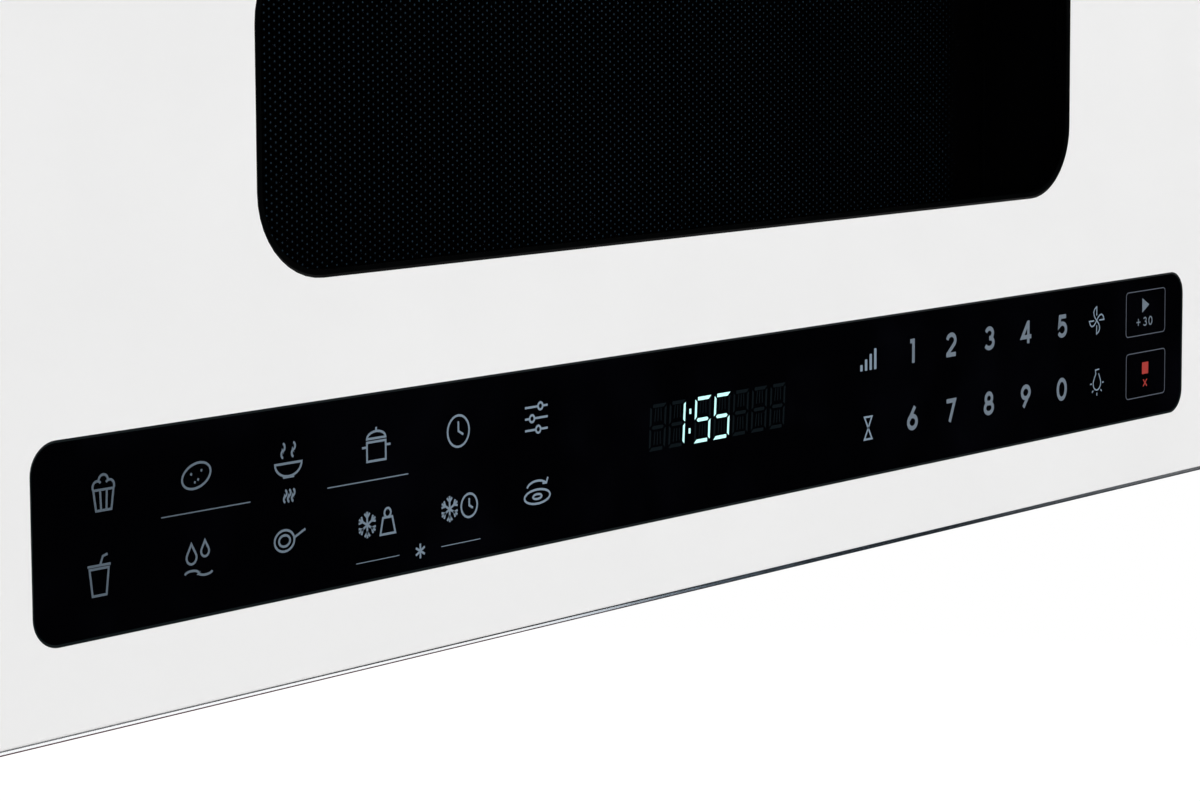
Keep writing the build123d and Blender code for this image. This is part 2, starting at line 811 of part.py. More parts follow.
def cooling_fan_blades():
    """Fan wheel: hub, shaft and pitched blades."""
    y0 = y_fan + fan_set_back
    y1 = y_fan + fan_frame_t - fan_motor_t - fan_play
    wheel = rod_y(x_fan, z_fan, y0, y1, fan_hub_r)
    inner = fan_hub_r - fan_blade_t
    for i in range(fan_blade_count):
        blade = Box(fan_tip_r - inner, fan_blade_t, fan_blade_chord)
        blade = Pos((fan_tip_r + inner) / 2, 0, 0) * Rot(fan_blade_pitch, 0, 0) * blade
        spin = Rot(0, 360 * i / fan_blade_count, 0)
        wheel += Pos(x_fan, (y0 + y1) / 2, z_fan) * spin * blade
    return wheel + rod_y(x_fan, z_fan, y0, y_fan + fan_frame_t, fan_shaft_r)


def power_board():
    """Power and filter board on stand-offs from the casing's right side."""
    x1 = x_in - power_board_gap
    x0 = x1 - board_t
    y0, y1 = -power_board_l / 2, power_board_l / 2
    z1 = z_top_in - power_board_drop
    z0 = z1 - power_board_h
    board = block(x0, x1, y0, y1, z0, z1)
    for y in (y0 + standoff_inset, y1 - standoff_inset):
        for z in (z0 + standoff_inset, z1 - standoff_inset):
            board += rod_x(y, z, x1, x_in, standoff_r)
    low = z0 + board_row_low
    board += block(x0 - choke_d, x0, choke_y - choke_l / 2, choke_y + choke_l / 2, low, low + choke_h)
    for i in range(3):
        y = relay_y + relay_pitch * i
        board += block(x0 - relay_d, x0, y - relay_l / 2, y + relay_l / 2, low, low + relay_h)
    for i in range(4):
        y = can_pitch * (i - 1.5)
        board += rod_x(y, z0 + board_row_mid, x0 - can_d, x0, can_r)
    high = z0 + board_row_high
    return board + block(x0 - plug_d, x0, -plug_l / 2, plug_l / 2, high, high + plug_h)


def turntable_motor():
    """Flat gear motor under the cavity floor."""
    z1 = cav_floor - sheet_t
    z0 = z1 - motor_h
    motor = rod_z(cav_xc, cav_yc, z0, z1, motor_r)
    motor += plate(cav_xc, cav_yc, 2 * (motor_r + motor_ear), motor_ear_w, z1 - sheet_t, z1)
    plug_l = motor_r + motor_plug_l
    motor += plate(cav_xc, cav_yc - plug_l / 2, motor_plug_w, plug_l, z0, z1 - 2 * sheet_t)
    return motor - rod_z(cav_xc, cav_yc, z0 + motor_floor_t, z1 + cut, shaft_r + bearing_gap)


def interlock_bracket():
    """Channel behind the front frame that holds the door switches."""
    outer = interlock_half
    inner = outer - interlock_t
    y1 = switch_back + interlock_t
    bracket = block(hook_x - outer, hook_x + outer, y_inside, y1, interlock_z0, interlock_z1)
    return bracket - block(hook_x - inner, hook_x + inner, y_inside - cut, switch_back,
                           interlock_z0 + interlock_t, interlock_z1 - interlock_t)


def switch_places():
    """Centre x and z of each door switch: two behind the upper hook, one behind the lower."""
    pitch = (switch_t + switch_gap) / 2
    return [(hook_x - pitch, hook_high_z), (hook_x + pitch, hook_high_z), (hook_x, hook_low_z)]


def door_switches():
    """Three micro switches with a bore for each plunger."""
    y0 = switch_back - switch_d
    bodies = []
    for x, z in switch_places():
        body = block(x - switch_t / 2, x + switch_t / 2, y0, switch_back, z - switch_h / 2, z + switch_h / 2)
        bodies.append(body - rod_y(x, z, y0 - cut, switch_back - switch_wall, plunger_r + bearing_gap))
    return group(*bodies)


def switch_plunger(index):
    """Plunger of one switch, standing just clear of its hook."""
    x, z = switch_places()[index]
    y0 = y_door_back + hook_reach + slack
    y1 = switch_back - switch_wall - plunger_travel - plunger_end_gap
    return rod_y(x, z, y0, y1, plunger_r)


# ================================================================ air path
def scroll_outline(grow):
    """Section of one blower scroll across its shaft: a round body with an upward outlet."""
    top = z_top_in - outlet_gap - z_blower
    centre = -(scroll_r + outlet_back) / 2
    outlet = Pos(centre, top / 2) * Rectangle(scroll_r - outlet_back + 2 * grow, top)
    return Circle(scroll_r + grow) + outlet


def scroll(x0, x1):
    """One scroll shell, open at the top and at both side inlets."""
    inner_w = x1 - x0 - 2 * scroll_t
    shell = extrude(Plane.YZ * scroll_outline(0), amount=x1 - x0)
    shell -= Pos(scroll_t, 0, 0) * extrude(Plane.YZ * scroll_outline(-scroll_t), amount=inner_w)
    shell = Pos(x0, y_blower, z_blower) * shell
    shell -= rod_x(y_blower, z_blower, x0 - cut, x1 + cut, scroll_inlet_r)
    y0 = y_blower - scroll_r + scroll_t
    y1 = y_blower - outlet_back - scroll_t
    z1 = z_top_in - outlet_gap
    return shell - block(x0 + scroll_t, x1 - scroll_t, y0, y1, z1 - 2 * scroll_t, z1 + cut)


def blower_housing():
    """Two scrolls joined by the plate that stands on the cavity roof."""
    x0 = blower_motor_w / 2 + scroll_gap
    x1 = x0 + scroll_w
    z0 = cav_roof + sheet_t
    housing = plate(0, y_blower, 2 * x1, 2 * scroll_r, z0, z0 + blower_plate_t)
    for s in (-1, 1):
        ends = sorted((s * x0, s * x1))
        foot = plate(s * (x0 + x1) / 2, y_blower, scroll_w, saddle_l, z0, z0 + scroll_foot_h)
        foot -= rod_x(y_blower, z_blower, ends[0] - cut, ends[1] + cut, scroll_r - scroll_t / 2)
        housing = housing + foot + scroll(ends[0], ends[1])
    return housing


def blower_motor():
    """Double-ended blower motor on its saddle."""
    half = blower_motor_w / 2
    z0 = cav_roof + sheet_t + blower_plate_t
    motor = chamfer(rod_x(y_blower, z_blower, -half, half, blower_motor_r).edges(), blower_motor_edge)
    for sx in (-1, 1):
        x = sx * (half - saddle_inset)
        motor += plate(x, y_blower, saddle_w, saddle_l, z0, z_blower - blower_motor_r / 2)
    return motor - rod_x(y_blower, z_blower, -half - cut, half + cut, blower_shaft_r + bearing_gap)


def wheel_blades(middle):
    """Forward-leaning blades round one wheel."""
    blade = Box(wheel_w, blade_t, blade_depth - blade_t / 2)
    blade = Pos(0, 0, wheel_r - blade_depth / 2) * Rot(blade_lean, 0, 0) * blade
    turns = [Rot(360 * i / blade_count, 0, 0) for i in range(blade_count)]
    return [Pos(middle, y_blower, z_blower) * turn * blade for turn in turns]


def blower_wheels():
    """Shaft with a bladed wheel at each end."""
    x0 = blower_motor_w / 2 + scroll_gap + (scroll_w - wheel_w) / 2
    x1 = x0 + wheel_w
    wheels = rod_x(y_blower, z_blower, -x1, x1, blower_shaft_r)
    for s in (-1, 1):
        middle = s * (x0 + x1) / 2
        web = rod_x(y_blower, z_blower, middle - wheel_disc_t / 2, middle + wheel_disc_t / 2, wheel_r)
        for xe in (middle - wheel_w / 2, middle + wheel_w / 2 - wheel_disc_t):
            rim = rod_x(y_blower, z_blower, xe, xe + wheel_disc_t, wheel_r)
            web += rim - rod_x(y_blower, z_blower, xe - cut, xe + wheel_disc_t + cut, wheel_r - blade_depth)
        wheels = wheels.fuse(web, *wheel_blades(middle))
    return wheels


def flap_hinge():
    """Depth and height of the damper flap's pins."""
    return y_duct + duct_l / 2 - flap_inset, case_h + collar_h - flap_drop


def exhaust_collar():
    """Standard rectangular duct collar on the casing's top, with a stop for the flap."""
    z1 = case_h + collar_h
    flange = 2 * collar_flange
    collar = plate(0, y_duct, duct_w + flange, duct_l + flange, case_h, case_h + collar_t)
    collar += plate(0, y_duct, duct_w + 2 * collar_t, duct_l + 2 * collar_t, case_h, z1)
    collar -= plate(0, y_duct, duct_w, duct_l, case_h - cut, z1 + cut)
    y, z = flap_hinge()
    y_stop = y_duct - duct_l / 2
    z_stop = z - flap_t / 2 - slack
    collar += block(-duct_w / 2, duct_w / 2, y_stop, y_stop + flap_stop_l, z_stop - flap_stop_t, z_stop)
    pin_end = duct_w / 2 + collar_t + cut
    return collar - rod_x(y, z, -pin_end, pin_end, flap_pin_r + bearing_gap)


def damper_flap():
    """Flap that the exhaust air lifts."""
    y, z = flap_hinge()
    half = duct_w / 2 - flap_fit
    pin_end = duct_w / 2 + collar_t + flap_pin_out
    flap = block(-half, half, y_duct - duct_l / 2 + flap_fit, y, z - flap_t / 2, z + flap_t / 2)
    return flap + rod_x(y, z, -pin_end, pin_end, flap_pin_r)


# ================================================================ underside pieces
def grease_filter(side):
    """Aluminium grease filter: channel frame, mesh bed and pull tab."""
    xc = side * filter_x
    z0 = pan_t + slack
    w, l = filter_w - 2 * filter_rim, filter_l - 2 * filter_rim
    frame = plate(xc, filter_y, filter_w, filter_l, z0, z0 + filter_t)
    frame -= plate(xc, filter_y, w, l, z0 - cut, z0 + filter_t + cut)
    z_mesh = z0 + (filter_t - filter_mesh_t) / 2
    frame += plate(xc, filter_y, w, l, z_mesh, z_mesh + filter_mesh_t)
    y_tab = filter_y - filter_l / 2 + filter_lip + tab_inset
    return frame + plate(xc, y_tab + tab_t / 2, tab_w, tab_t, tab_height, z_mesh)


def lamp_hinge():
    """Depth and height of the lamp cover's hinge pins."""
    return lamp_y + lamp_l / 2 - lamp_pin_inset, lamp_cover_z + lamp_cover_t


def lamp_cover():
    """Clear cover under the cooktop lamps, hinged along its back edge."""
    half = lamp_w / 2
    y, z = lamp_hinge()
    cover = block(-half, half, lamp_y - lamp_l / 2, y, lamp_cover_z, z)
    return cover + rod_x(y, z, -half - lamp_pin_len, half + lamp_pin_len, lamp_pin_r)


# ================================================================ turntable
def turntable_coupler():
    """Three-armed coupler on the drive shaft."""
    z0 = cav_floor + slack
    hub = rod_z(cav_xc, cav_yc, z0, z0 + hub_h, hub_r)
    for i in range(3):
        arm = block(cav_xc, cav_xc + hub_arm_r, cav_yc - hub_arm_w / 2, cav_yc + hub_arm_w / 2,
                    z0 + hub_h / 2, z0 + hub_h)
        hub += turned(arm, 120 * i)
    return hub + rod_z(cav_xc, cav_yc, cav_floor - shaft_len, z0, shaft_r)


def glass_tray():
    """Glass turntable tray with a raised rim and three drive lugs."""
    z_rim = z_tray + tray_rim_h
    outline = Polyline(
        (0, z_tray), (tray_foot_r, z_tray), (tray_r - tray_lip, z_rim - tray_lip), (tray_r, z_rim),
        (tray_r, z_rim + tray_lip), (tray_r - tray_t, z_rim + tray_t - tray_lip / 2),
        (tray_foot_r - tray_lip, z_tray + tray_t), (0, z_tray + tray_t), close=True)
    tray = revolve(Plane.XZ * make_face(outline), Axis.Z)
    for i in range(3):
        lug = rod_z(lug_circle_r, 0, cav_floor + slack + hub_h / 2 + lug_gap, z_tray + lug_gap, lug_r)
        tray += Rot(0, 0, 60 + 120 * i) * lug
    return Pos(cav_xc, cav_yc, 0) * tray


def roller_angle(index):
    """Direction of one roller from the ring's centre."""
    return 90 + 120 * index


def roller_ring():
    """Ring that carries three rollers on radial axles."""
    zc = cav_floor + roller_r
    ring = rod_z(0, 0, zc - ring_t / 2, zc + ring_t / 2, ring_outer_r)
    ring -= rod_z(0, 0, zc - ring_t, zc + ring_t, ring_outer_r - ring_w)
    tip = ring_outer_r + 2 * roller_play + roller_w
    for i in range(3):
        axle = rod_x(0, zc, ring_outer_r - axle_root, tip + axle_stop_t, axle_r)
        axle += rod_x(0, zc, tip, tip + axle_stop_t, axle_stop_r)
        ring += Rot(0, 0, roller_angle(i)) * axle
    return Pos(cav_xc, cav_yc, 0) * ring


def roller(index):
    """One small wheel on its axle."""
    zc = cav_floor + roller_r
    r0 = ring_outer_r + roller_play
    wheel = rod_x(0, zc, r0, r0 + roller_w, roller_r - roller_clear)
    wheel -= rod_x(0, zc, r0 - cut, r0 + roller_w + cut, axle_r + bearing_gap)
    return Pos(cav_xc, cav_yc, 0) * Rot(0, 0, roller_angle(index)) * wheel


# ================================================================ door
def door_skin():
    """Door's outer shell with cut-outs for the window and the control strip."""
    y0, y1 = y_face - cut, y_face + skin_t + cut
    skin = block(-x_door, x_door, y_face, y_door_back, z_door, z_door_top)
    skin = fillet(skin.faces().sort_by(Axis.Y)[0].edges(), door_edge_r)
    skin -= block(-x_door + skin_t, x_door - skin_t, y_face + skin_t, y_door_back + cut,
                  z_door + skin_t, z_door_top - skin_t)
    skin -= slab(0, z_window, window_w, window_h, window_r, y0, y1)
    skin -= slab(0, z_strip, strip_w, strip_h, strip_r, y0, y1)
    skin -= rod_z(x_hinge, y_hinge, z_door - cut, z_door_top + cut, bushing_r)
    for sx in (-1, 1):
        skin -= rod_y(sx * post_spacing / 2, z_handle, y0, y1, post_hole_r)
    return skin


def door_trim():
    """Bright strip under the door's front edge."""
    y0 = y_face + trim_set_back
    half = x_door - trim_end_gap
    return block(-half, half, y0, y0 + trim_depth, z_door - trim_t, z_door)


def stepped_glass(zc, w, h, r):
    """Pane whose front fills a cut-out and whose land rests behind the skin."""
    y1 = y_face + skin_t
    front = slab(0, zc, w - 2 * glass_fit, h - 2 * glass_fit, r - glass_fit, y_face + glass_recess, y1)
    return front + slab(0, zc, w + 2 * land_margin, h + 2 * land_margin, r + land_margin, y1, y_glass_back)


def window_glass():
    """Window pane."""
    return stepped_glass(z_window, window_w, window_h, window_r)


def control_glass():
    """Black glass of the control strip."""
    return stepped_glass(z_strip, strip_w, strip_h, strip_r)


def window_screen():
    """Perforated steel screen behind the window, drawn as a plain sheet."""
    return block(aperture_x0 - screen_lap, aperture_x1 + screen_lap, y_screen, y_screen + screen_t,
                 z_aperture0 - screen_lap, z_aperture1 + screen_lap)


def door_inner_frame():
    """Pressed frame at the door's back, with a tunnel from the screen to the inner pane."""
    x0, x1 = cav_x0 - choke_reach, cav_x1 + choke_reach
    z0, z1 = cav_floor - choke_reach, cav_roof + choke_reach
    y0, y1 = y_door_back - choke_depth, y_door_back - frame_t
    t = frame_t
    frame = block(x0, x1, y0, y_door_back, z0, z1)
    frame -= block(x0 + t, x1 - t, y0 - cut, y1, z0 + t, z1 - t)
    y_tunnel = y_screen + screen_t
    frame += block(aperture_x0 - t, aperture_x1 + t, y_tunnel, y1, z_aperture0 - t, z_aperture1 + t)
    return frame - block(aperture_x0, aperture_x1, y_screen, y_door_back + cut, z_aperture0, z_aperture1)


def inner_pane():
    """Clear inner pane, set in the frame's opening."""
    y1 = y_door_back - frame_t
    return block(aperture_x0, aperture_x1, y1 - inner_pane_t, y1, z_aperture0, z_aperture1)


def slider_ends():
    """Lower and upper end of the latch slider."""
    return hook_low_z - slider_over, hook_high_z + slider_over


def door_liner():
    """Plastic liner that closes the door's back, with guides for the latch slider."""
    x1 = x_door - skin_t
    y0 = y_door_back - liner_t
    liner = block(-x1, x1, y0, y_door_back, z_door + skin_t, z_door_top - skin_t)
    liner -= block(cav_x0 - choke_reach, cav_x1 + choke_reach, y0 - cut, y_door_back + cut,
                   cav_floor - choke_reach, cav_roof + choke_reach)
    for zc, width in ((hook_low_z, hook_t), (hook_high_z, hook_wide)):
        side = width / 2 + hook_play
        liner -= block(hook_x - side, hook_x + side, y0 - cut, y_door_back + cut,
                       zc - hook_h / 2 - hook_play, zc + hook_h / 2 + latch_travel + hook_play)
    z_low, z_high = slider_ends()
    inner = slider_w / 2 + slack
    outer = inner + slider_guide_t
    y_guide = y0 - slider_t - 2 * slack
    for share in slider_guide_shares:
        zc = z_low + (z_high - z_low) * share
        z0, z1 = zc - slider_guide_h / 2, zc + slider_guide_h / 2
        liner += block(hook_x - outer, hook_x + outer, y_guide - slider_guide_t, y0, z0, z1)
        liner -= block(hook_x - inner, hook_x + inner, y_guide, y0, z0 - cut, z1 + cut)
    for z0 in (z_high + spring_len, z_low - slack - stop_t):
        liner += plate(hook_x, (y_guide + y0) / 2, stop_w, y0 - y_guide, z0, z0 + stop_t)
    return liner


def latch_slider():
    """Sliding bar with the two hooks that hold the door shut."""
    z0, z1 = slider_ends()
    y1 = y_door_back - liner_t - slack
    y0 = y1 - slider_t
    bar = block(hook_x - slider_w / 2, hook_x + slider_w / 2, y0, y1, z0, z1)
    end = y_door_back + hook_reach
    for zc, width in ((hook_low_z, hook_t), (hook_high_z, hook_wide)):
        x0, x1 = hook_x - width / 2, hook_x + width / 2
        bar += block(x0, x1, y1 - hook_root, end, zc - hook_h / 2, zc + hook_h / 2)
        bar += block(x0, x1, end - barb_l, end, zc - hook_h / 2 - barb_h, zc - hook_h / 2)
    return bar


def latch_spring():
    """Return spring above the latch slider, drawn as its envelope."""
    z0 = slider_ends()[1]
    y = y_door_back - liner_t - slack - slider_t / 2
    z1 = z0 + spring_len
    return rod_z(hook_x, y, z0, z1, spring_r) - rod_z(hook_x, y, z0 - cut, z1 + cut, spring_r - spring_wire)


def control_board():
    """Touch and control board behind the strip, on stand-offs from the glass."""
    y0 = y_glass_back + display_t
    y1 = y0 + board_t
    board = block(control_board_x0, control_board_x1, y0, y1,
                  z_strip - control_board_h / 2, z_strip + control_board_h / 2)
    span = control_board_x1 - control_board_x0 - 2 * control_end
    for i in range(control_standoffs):
        x = control_board_x0 + control_end + span * i / (control_standoffs - 1)
        for z in (z_strip - control_standoff_z, z_strip + control_standoff_z):
            board += rod_y(x, z, y_glass_back, y0, standoff_r)
    for share in chip_shares:
        x = control_board_x0 + (control_board_x1 - control_board_x0) * share
        z0, z1 = z_strip - chip_h / 2, z_strip + chip_h / 2
        board += block(x - chip_w / 2, x + chip_w / 2, y1, y1 + chip_t, z0, z1)
    z0 = z_strip - connector_drop - connector_h / 2
    return board + block(-connector_w / 2, connector_w / 2, y1, y1 + connector_t, z0, z0 + connector_h)


def display_module():
    """Fluorescent clock display between the glass and the board."""
    return block(-display_w / 2, display_w / 2, y_glass_back, y_glass_back + display_t,
                 z_strip - display_h / 2, z_strip + display_h / 2)


def handle_bar():
    """Round bar across the door above the window."""
    bar = rod_x(y_handle, z_handle, -handle_len / 2, handle_len / 2, handle_d / 2)
    return fillet(bar.edges(), handle_end_r)


def handle_posts():
    """Two posts between the bar and the door, tapped for their screws."""
    posts = []
    y_end = y_face + skin_t - handle_screw_len - post_bore_spare
    for sx in (-1, 1):
        x = sx * post_spacing / 2
        post = rod_y(x, z_handle, y_handle, y_face, post_r)
        post -= rod_x(y_handle, z_handle, x - 2 * post_r, x + 2 * post_r, handle_d / 2)
        posts.append(post - rod_y(x, z_handle, y_end, y_face + cut, handle_screw_r))
    return group(*posts)


def handle_screws():
    """Screws from inside the door into the posts."""
    screws = []
    y1 = y_face + skin_t
    for sx in (-1, 1):
        x = sx * post_spacing / 2
        screw = rod_y(x, z_handle, y1 - handle_screw_len, y1, handle_screw_r)
        screws.append(screw + rod_y(x, z_handle, y1, y1 + handle_screw_head_t, handle_screw_head_r))
    return group(*screws)


def door_bushings():
    """Nylon bushings in the door's top and bottom walls, each with a washer flange."""
    bore = hinge_pin_r + bearing_gap
    low = rod_z(x_hinge, y_hinge, z_door, z_door + bushing_len, bushing_r)
    low += rod_z(x_hinge, y_hinge, z_door - low_washer_t, z_door, washer_r)
    low -= rod_z(x_hinge, y_hinge, z_door - low_washer_t - cut, z_door + bushing_len + cut, bore)
    high = rod_z(x_hinge, y_hinge, z_door_top - bushing_len, z_door_top, bushing_r)
    high += rod_z(x_hinge, y_hinge, z_door_top, z_door_top + high_washer_t, washer_r)
    high -= rod_z(x_hinge, y_hinge, z_door_top - bushing_len - cut, z_door_top + high_washer_t + cut, bore)
    return group(low, high)


# ================================================================ small fixed pieces
def cord_bushing():
    """Snap-in bushing where the power cord leaves through the top."""
    z0, z1 = z_top_in - cord_snap_t, case_h + cord_flange_t
    bushing = rod_z(cord_x, cord_y, z0, z1, cord_hole_r)
    bushing += rod_z(cord_x, cord_y, case_h, z1, cord_hole_r + cord_flange)
    bushing += rod_z(cord_x, cord_y, z0, z_top_in, cord_hole_r + cord_snap)
    return bushing - rod_z(cord_x, cord_y, z0 - cut, z1 + cut, cord_bore_r)


def chassis_screws():
    """Pan-head screws that hold the casing together."""
    top, rear = screw_places()
    screws = []
    for x, y in top:
        head = rod_z(x, y, case_h, case_h + screw_head_t, screw_head_r)
        head = chamfer(head.edges().sort_by(Axis.Z)[-1:], screw_head_edge)
        screws.append(head + rod_z(x, y, case_h - screw_len, case_h, screw_shank_r))
    for x, z in rear:
        head = rod_y(x, z, y_back, y_back + screw_head_t, screw_head_r)
        head = chamfer(head.edges().sort_by(Axis.Y)[-1:], screw_head_edge)
        screws.append(head + rod_y(x, z, y_back - screw_len, y_back, screw_shank_r))
    return group(*screws)


# ================================================================ export
def all_parts():
    """Every node by name."""
    parts = {
        "outer_wrap": outer_wrap(), "back_plate": back_plate(), "front_frame": front_frame(),
        "base_pan": base_pan(), "mounting_plate": mounting_plate(), "vent_grille": vent_grille(),
        "charcoal_filter": charcoal_filter(), "cavity_wrap": cavity_wrap(),
        "cavity_floor": cavity_floor(), "cavity_back": cavity_back(),
        "waveguide": waveguide(), "waveguide_cover": waveguide_cover(), "magnetron": magnetron(),
        "hv_transformer": hv_transformer(), "hv_capacitor": hv_capacitor(),
        "power_board": power_board(), "cooling_fan_frame": cooling_fan_frame(),
        "cooling_fan_blades": cooling_fan_blades(), "turntable_motor": turntable_motor(),
        "blower_housing": blower_housing(), "blower_motor": blower_motor(),
        "blower_wheels": blower_wheels(), "exhaust_collar": exhaust_collar(),
        "damper_flap": damper_flap(), "interlock_bracket": interlock_bracket(),
        "door_switches": door_switches(), "hinge_bracket_upper": hinge_bracket_upper(),
        "hinge_bracket_lower": hinge_bracket_lower(), "led_lamps": led_lamps(),
        "cord_bushing": cord_bushing(), "chassis_screws": chassis_screws(),
        "grease_filter_left": grease_filter(-1), "grease_filter_right": grease_filter(1),
        "lamp_cover": lamp_cover(), "turntable_coupler": turntable_coupler(),
        "glass_tray": glass_tray(), "roller_ring": roller_ring(),
        "door_skin": door_skin(), "door_trim": door_trim(), "door_liner": door_liner(),
        "door_inner_frame": door_inner_frame(), "window_glass": window_glass(),
        "window_screen": window_screen(), "inner_pane": inner_pane(),
        "control_glass": control_glass(), "control_board": control_board(),
        "display_module": display_module(), "handle_bar": handle_bar(),
        "handle_posts": handle_posts(), "handle_screws": handle_screws(),
        "door_bushings": door_bushings(), "latch_slider": latch_slider(),
        "latch_spring": latch_spring(),
    }
    for i in range(3):
        parts[f"roller_{i + 1}"] = roller(i)
        parts[f"switch_plunger_{i + 1}"] = switch_plunger(i)
    return parts


os.makedirs("parts", exist_ok=True)
for node_name, shape in all_parts().items():
    shape.label = node_name
    export_step(shape, f"parts/{node_name}.step")
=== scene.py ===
"""Looks of the over-the-range microwave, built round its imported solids.

Laid out as an add-on and run as a script. Lengths in the tables are millimetres in the shared frame
(X right, Y to the wall, Z up); meshes are in metres.
"""

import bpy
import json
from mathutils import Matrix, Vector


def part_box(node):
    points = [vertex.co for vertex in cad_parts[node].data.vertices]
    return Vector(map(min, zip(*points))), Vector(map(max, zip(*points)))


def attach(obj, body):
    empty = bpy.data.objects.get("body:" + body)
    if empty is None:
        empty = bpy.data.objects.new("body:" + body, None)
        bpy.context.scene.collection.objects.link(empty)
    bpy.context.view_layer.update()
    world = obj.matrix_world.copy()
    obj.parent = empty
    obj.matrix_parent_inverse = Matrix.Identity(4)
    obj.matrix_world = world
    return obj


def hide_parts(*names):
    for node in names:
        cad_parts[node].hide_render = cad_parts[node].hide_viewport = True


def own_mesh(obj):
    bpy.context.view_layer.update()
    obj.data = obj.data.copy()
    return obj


bl_info = {
    "name": "Over-the-range microwave",
    "version": (1, 0, 0),
    "blender": (4, 5, 0),
    "location": "View3D > Sidebar > Microwave",
    "description": "Dresses the packed microwave with its finishes, key print and small parts",
    "category": "Object",
}

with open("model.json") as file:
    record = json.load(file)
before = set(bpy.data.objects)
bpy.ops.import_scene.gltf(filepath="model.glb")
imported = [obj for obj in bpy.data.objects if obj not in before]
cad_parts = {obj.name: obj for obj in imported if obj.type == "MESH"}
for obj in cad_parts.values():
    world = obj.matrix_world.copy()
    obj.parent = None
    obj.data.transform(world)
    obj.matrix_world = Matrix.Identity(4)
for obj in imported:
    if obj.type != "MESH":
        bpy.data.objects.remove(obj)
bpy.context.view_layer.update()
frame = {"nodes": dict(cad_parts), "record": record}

import json
import math

import bmesh
import bpy
from bpy.props import FloatProperty, FloatVectorProperty, IntProperty, PointerProperty
from mathutils import Matrix, Vector

MM = 0.001


def box_mm(node):
    """Lowest and highest corner of a CAD node, in millimetres."""
    low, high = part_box(node)
    return Vector(low) / MM, Vector(high) / MM


def tone(red, green, blue):
    """Scene colour of a screen colour given in steps of 255."""
    def channel(value):
        share = value / 255
        return share / 12.92 if share <= 0.04045 else ((share + 0.055) / 1.055) ** 2.4
    return channel(red), channel(green), channel(blue)


def radians(degrees):
    """Angles in radians."""
    return [math.radians(angle) for angle in degrees]


# ---------------------------------------------------------------- places on the object, in millimetres
glass_low, glass_high = box_mm("control_glass")
STRIP_Z = (glass_low.z + glass_high.z) / 2
STRIP_LAND = 7.0                   # hidden edge of each glass behind the door skin
WINDOW_R, STRIP_R = 30.3, 10.6     # corners of the door's two openings
GLASS_FACE = box_mm("door_skin")[0].y + 0.35   # both front glasses lie a little behind the door's face
PRINT_BACK = GLASS_FACE + 0.02     # prints start inside the glass and stand out of it
PRINT_FRONT = GLASS_FACE - 0.04
PRINT_STEP = 0.004                 # crossing lines lie this much over each other
EDGE_GAP = 0.02                    # ground edge of a glass to the door skin
MITRE_LIMIT = 0.35                 # a line's sharp corner reaches no further out than this allows
DEEP_BLACK = (0.0001, 0.0001, 0.0002)

# ================================================================ settings
COLOUR = {"subtype": "COLOR", "size": 3, "min": 0, "max": 1}
LENGTH = {"subtype": "DISTANCE", "unit": "LENGTH"}
POWER = {"unit": "POWER", "min": 0}


class DoorSettings(bpy.types.PropertyGroup):
    """Door skin, glasses and the dotted screen."""
    enamel: FloatVectorProperty(name="Door enamel", description="Colour of the painted door and grille",
                                default=tone(238.6, 238.3, 238.2), **COLOUR)
    glass: FloatVectorProperty(name="Black glass", description="Colour of the glass over the control strip",
                               default=tone(1.4, 1.5, 2.6), **COLOUR)
    # The hole colour is painted light: the lit inside seen through the screen's holes.
    glow: FloatVectorProperty(name="Hole colour", description="Colour seen through the screen's holes",
                              default=tone(78, 107, 129), **COLOUR)
    hole_pitch: FloatProperty(name="Hole pitch", description="Distance between holes in one column",
                              default=2.7 * MM, min=1 * MM, **LENGTH)
    hole_r: FloatProperty(name="Hole radius", description="Radius of one hole in the screen",
                          default=0.345 * MM, min=0.1 * MM, **LENGTH)
    hole_end: FloatProperty(name="Last column", description="Where the dotted field ends on the right",
                            default=173.5 * MM, **LENGTH)
    edge_w: FloatProperty(name="Glass edge", description="Width of the ground edge round the control strip",
                          default=0.9 * MM, min=0.1 * MM, **LENGTH)
    trim: FloatVectorProperty(name="Lower trim", description="Colour of the polished trim under the door",
                              default=(0.90, 0.92, 0.94), **COLOUR)


class PrintSettings(bpy.types.PropertyGroup):
    """Key legends and the display."""
    legend: FloatVectorProperty(name="Legend colour", description="Colour of the printed pictograms",
                                default=tone(123, 140, 156), **COLOUR)
    number: FloatVectorProperty(name="Number colour", description="Colour of the printed numbers",
                                default=tone(105, 117, 129), **COLOUR)
    rule: FloatVectorProperty(name="Rule colour", description="Colour of the key boxes",
                              default=tone(80, 86, 97), **COLOUR)
    stop: FloatVectorProperty(name="Stop colour", description="Colour of the stop mark",
                              default=tone(165, 52, 46), **COLOUR)
    lit: FloatVectorProperty(name="Lit segments", description="Colour of the lit display segments",
                             default=tone(196, 255, 250), **COLOUR)
    ghost: FloatVectorProperty(name="Unlit segments", description="Colour of the unlit display segments",
                               default=tone(14, 20, 23), **COLOUR)
    digit_h: FloatProperty(name="Number height", description="Height of the key numbers",
                           default=10.3 * MM, min=2 * MM, **LENGTH)
    digit_w: FloatProperty(name="Number stroke", description="Line width of the key numbers",
                           default=1.85 * MM, min=0.2 * MM, **LENGTH)
    line_w: FloatProperty(name="Pictogram stroke", description="Line width of the pictograms",
                          default=0.8 * MM, min=0.1 * MM, **LENGTH)
    rule_w: FloatProperty(name="Rule width", description="Line width of key boxes and dividers",
                          default=0.42 * MM, min=0.1 * MM, **LENGTH)


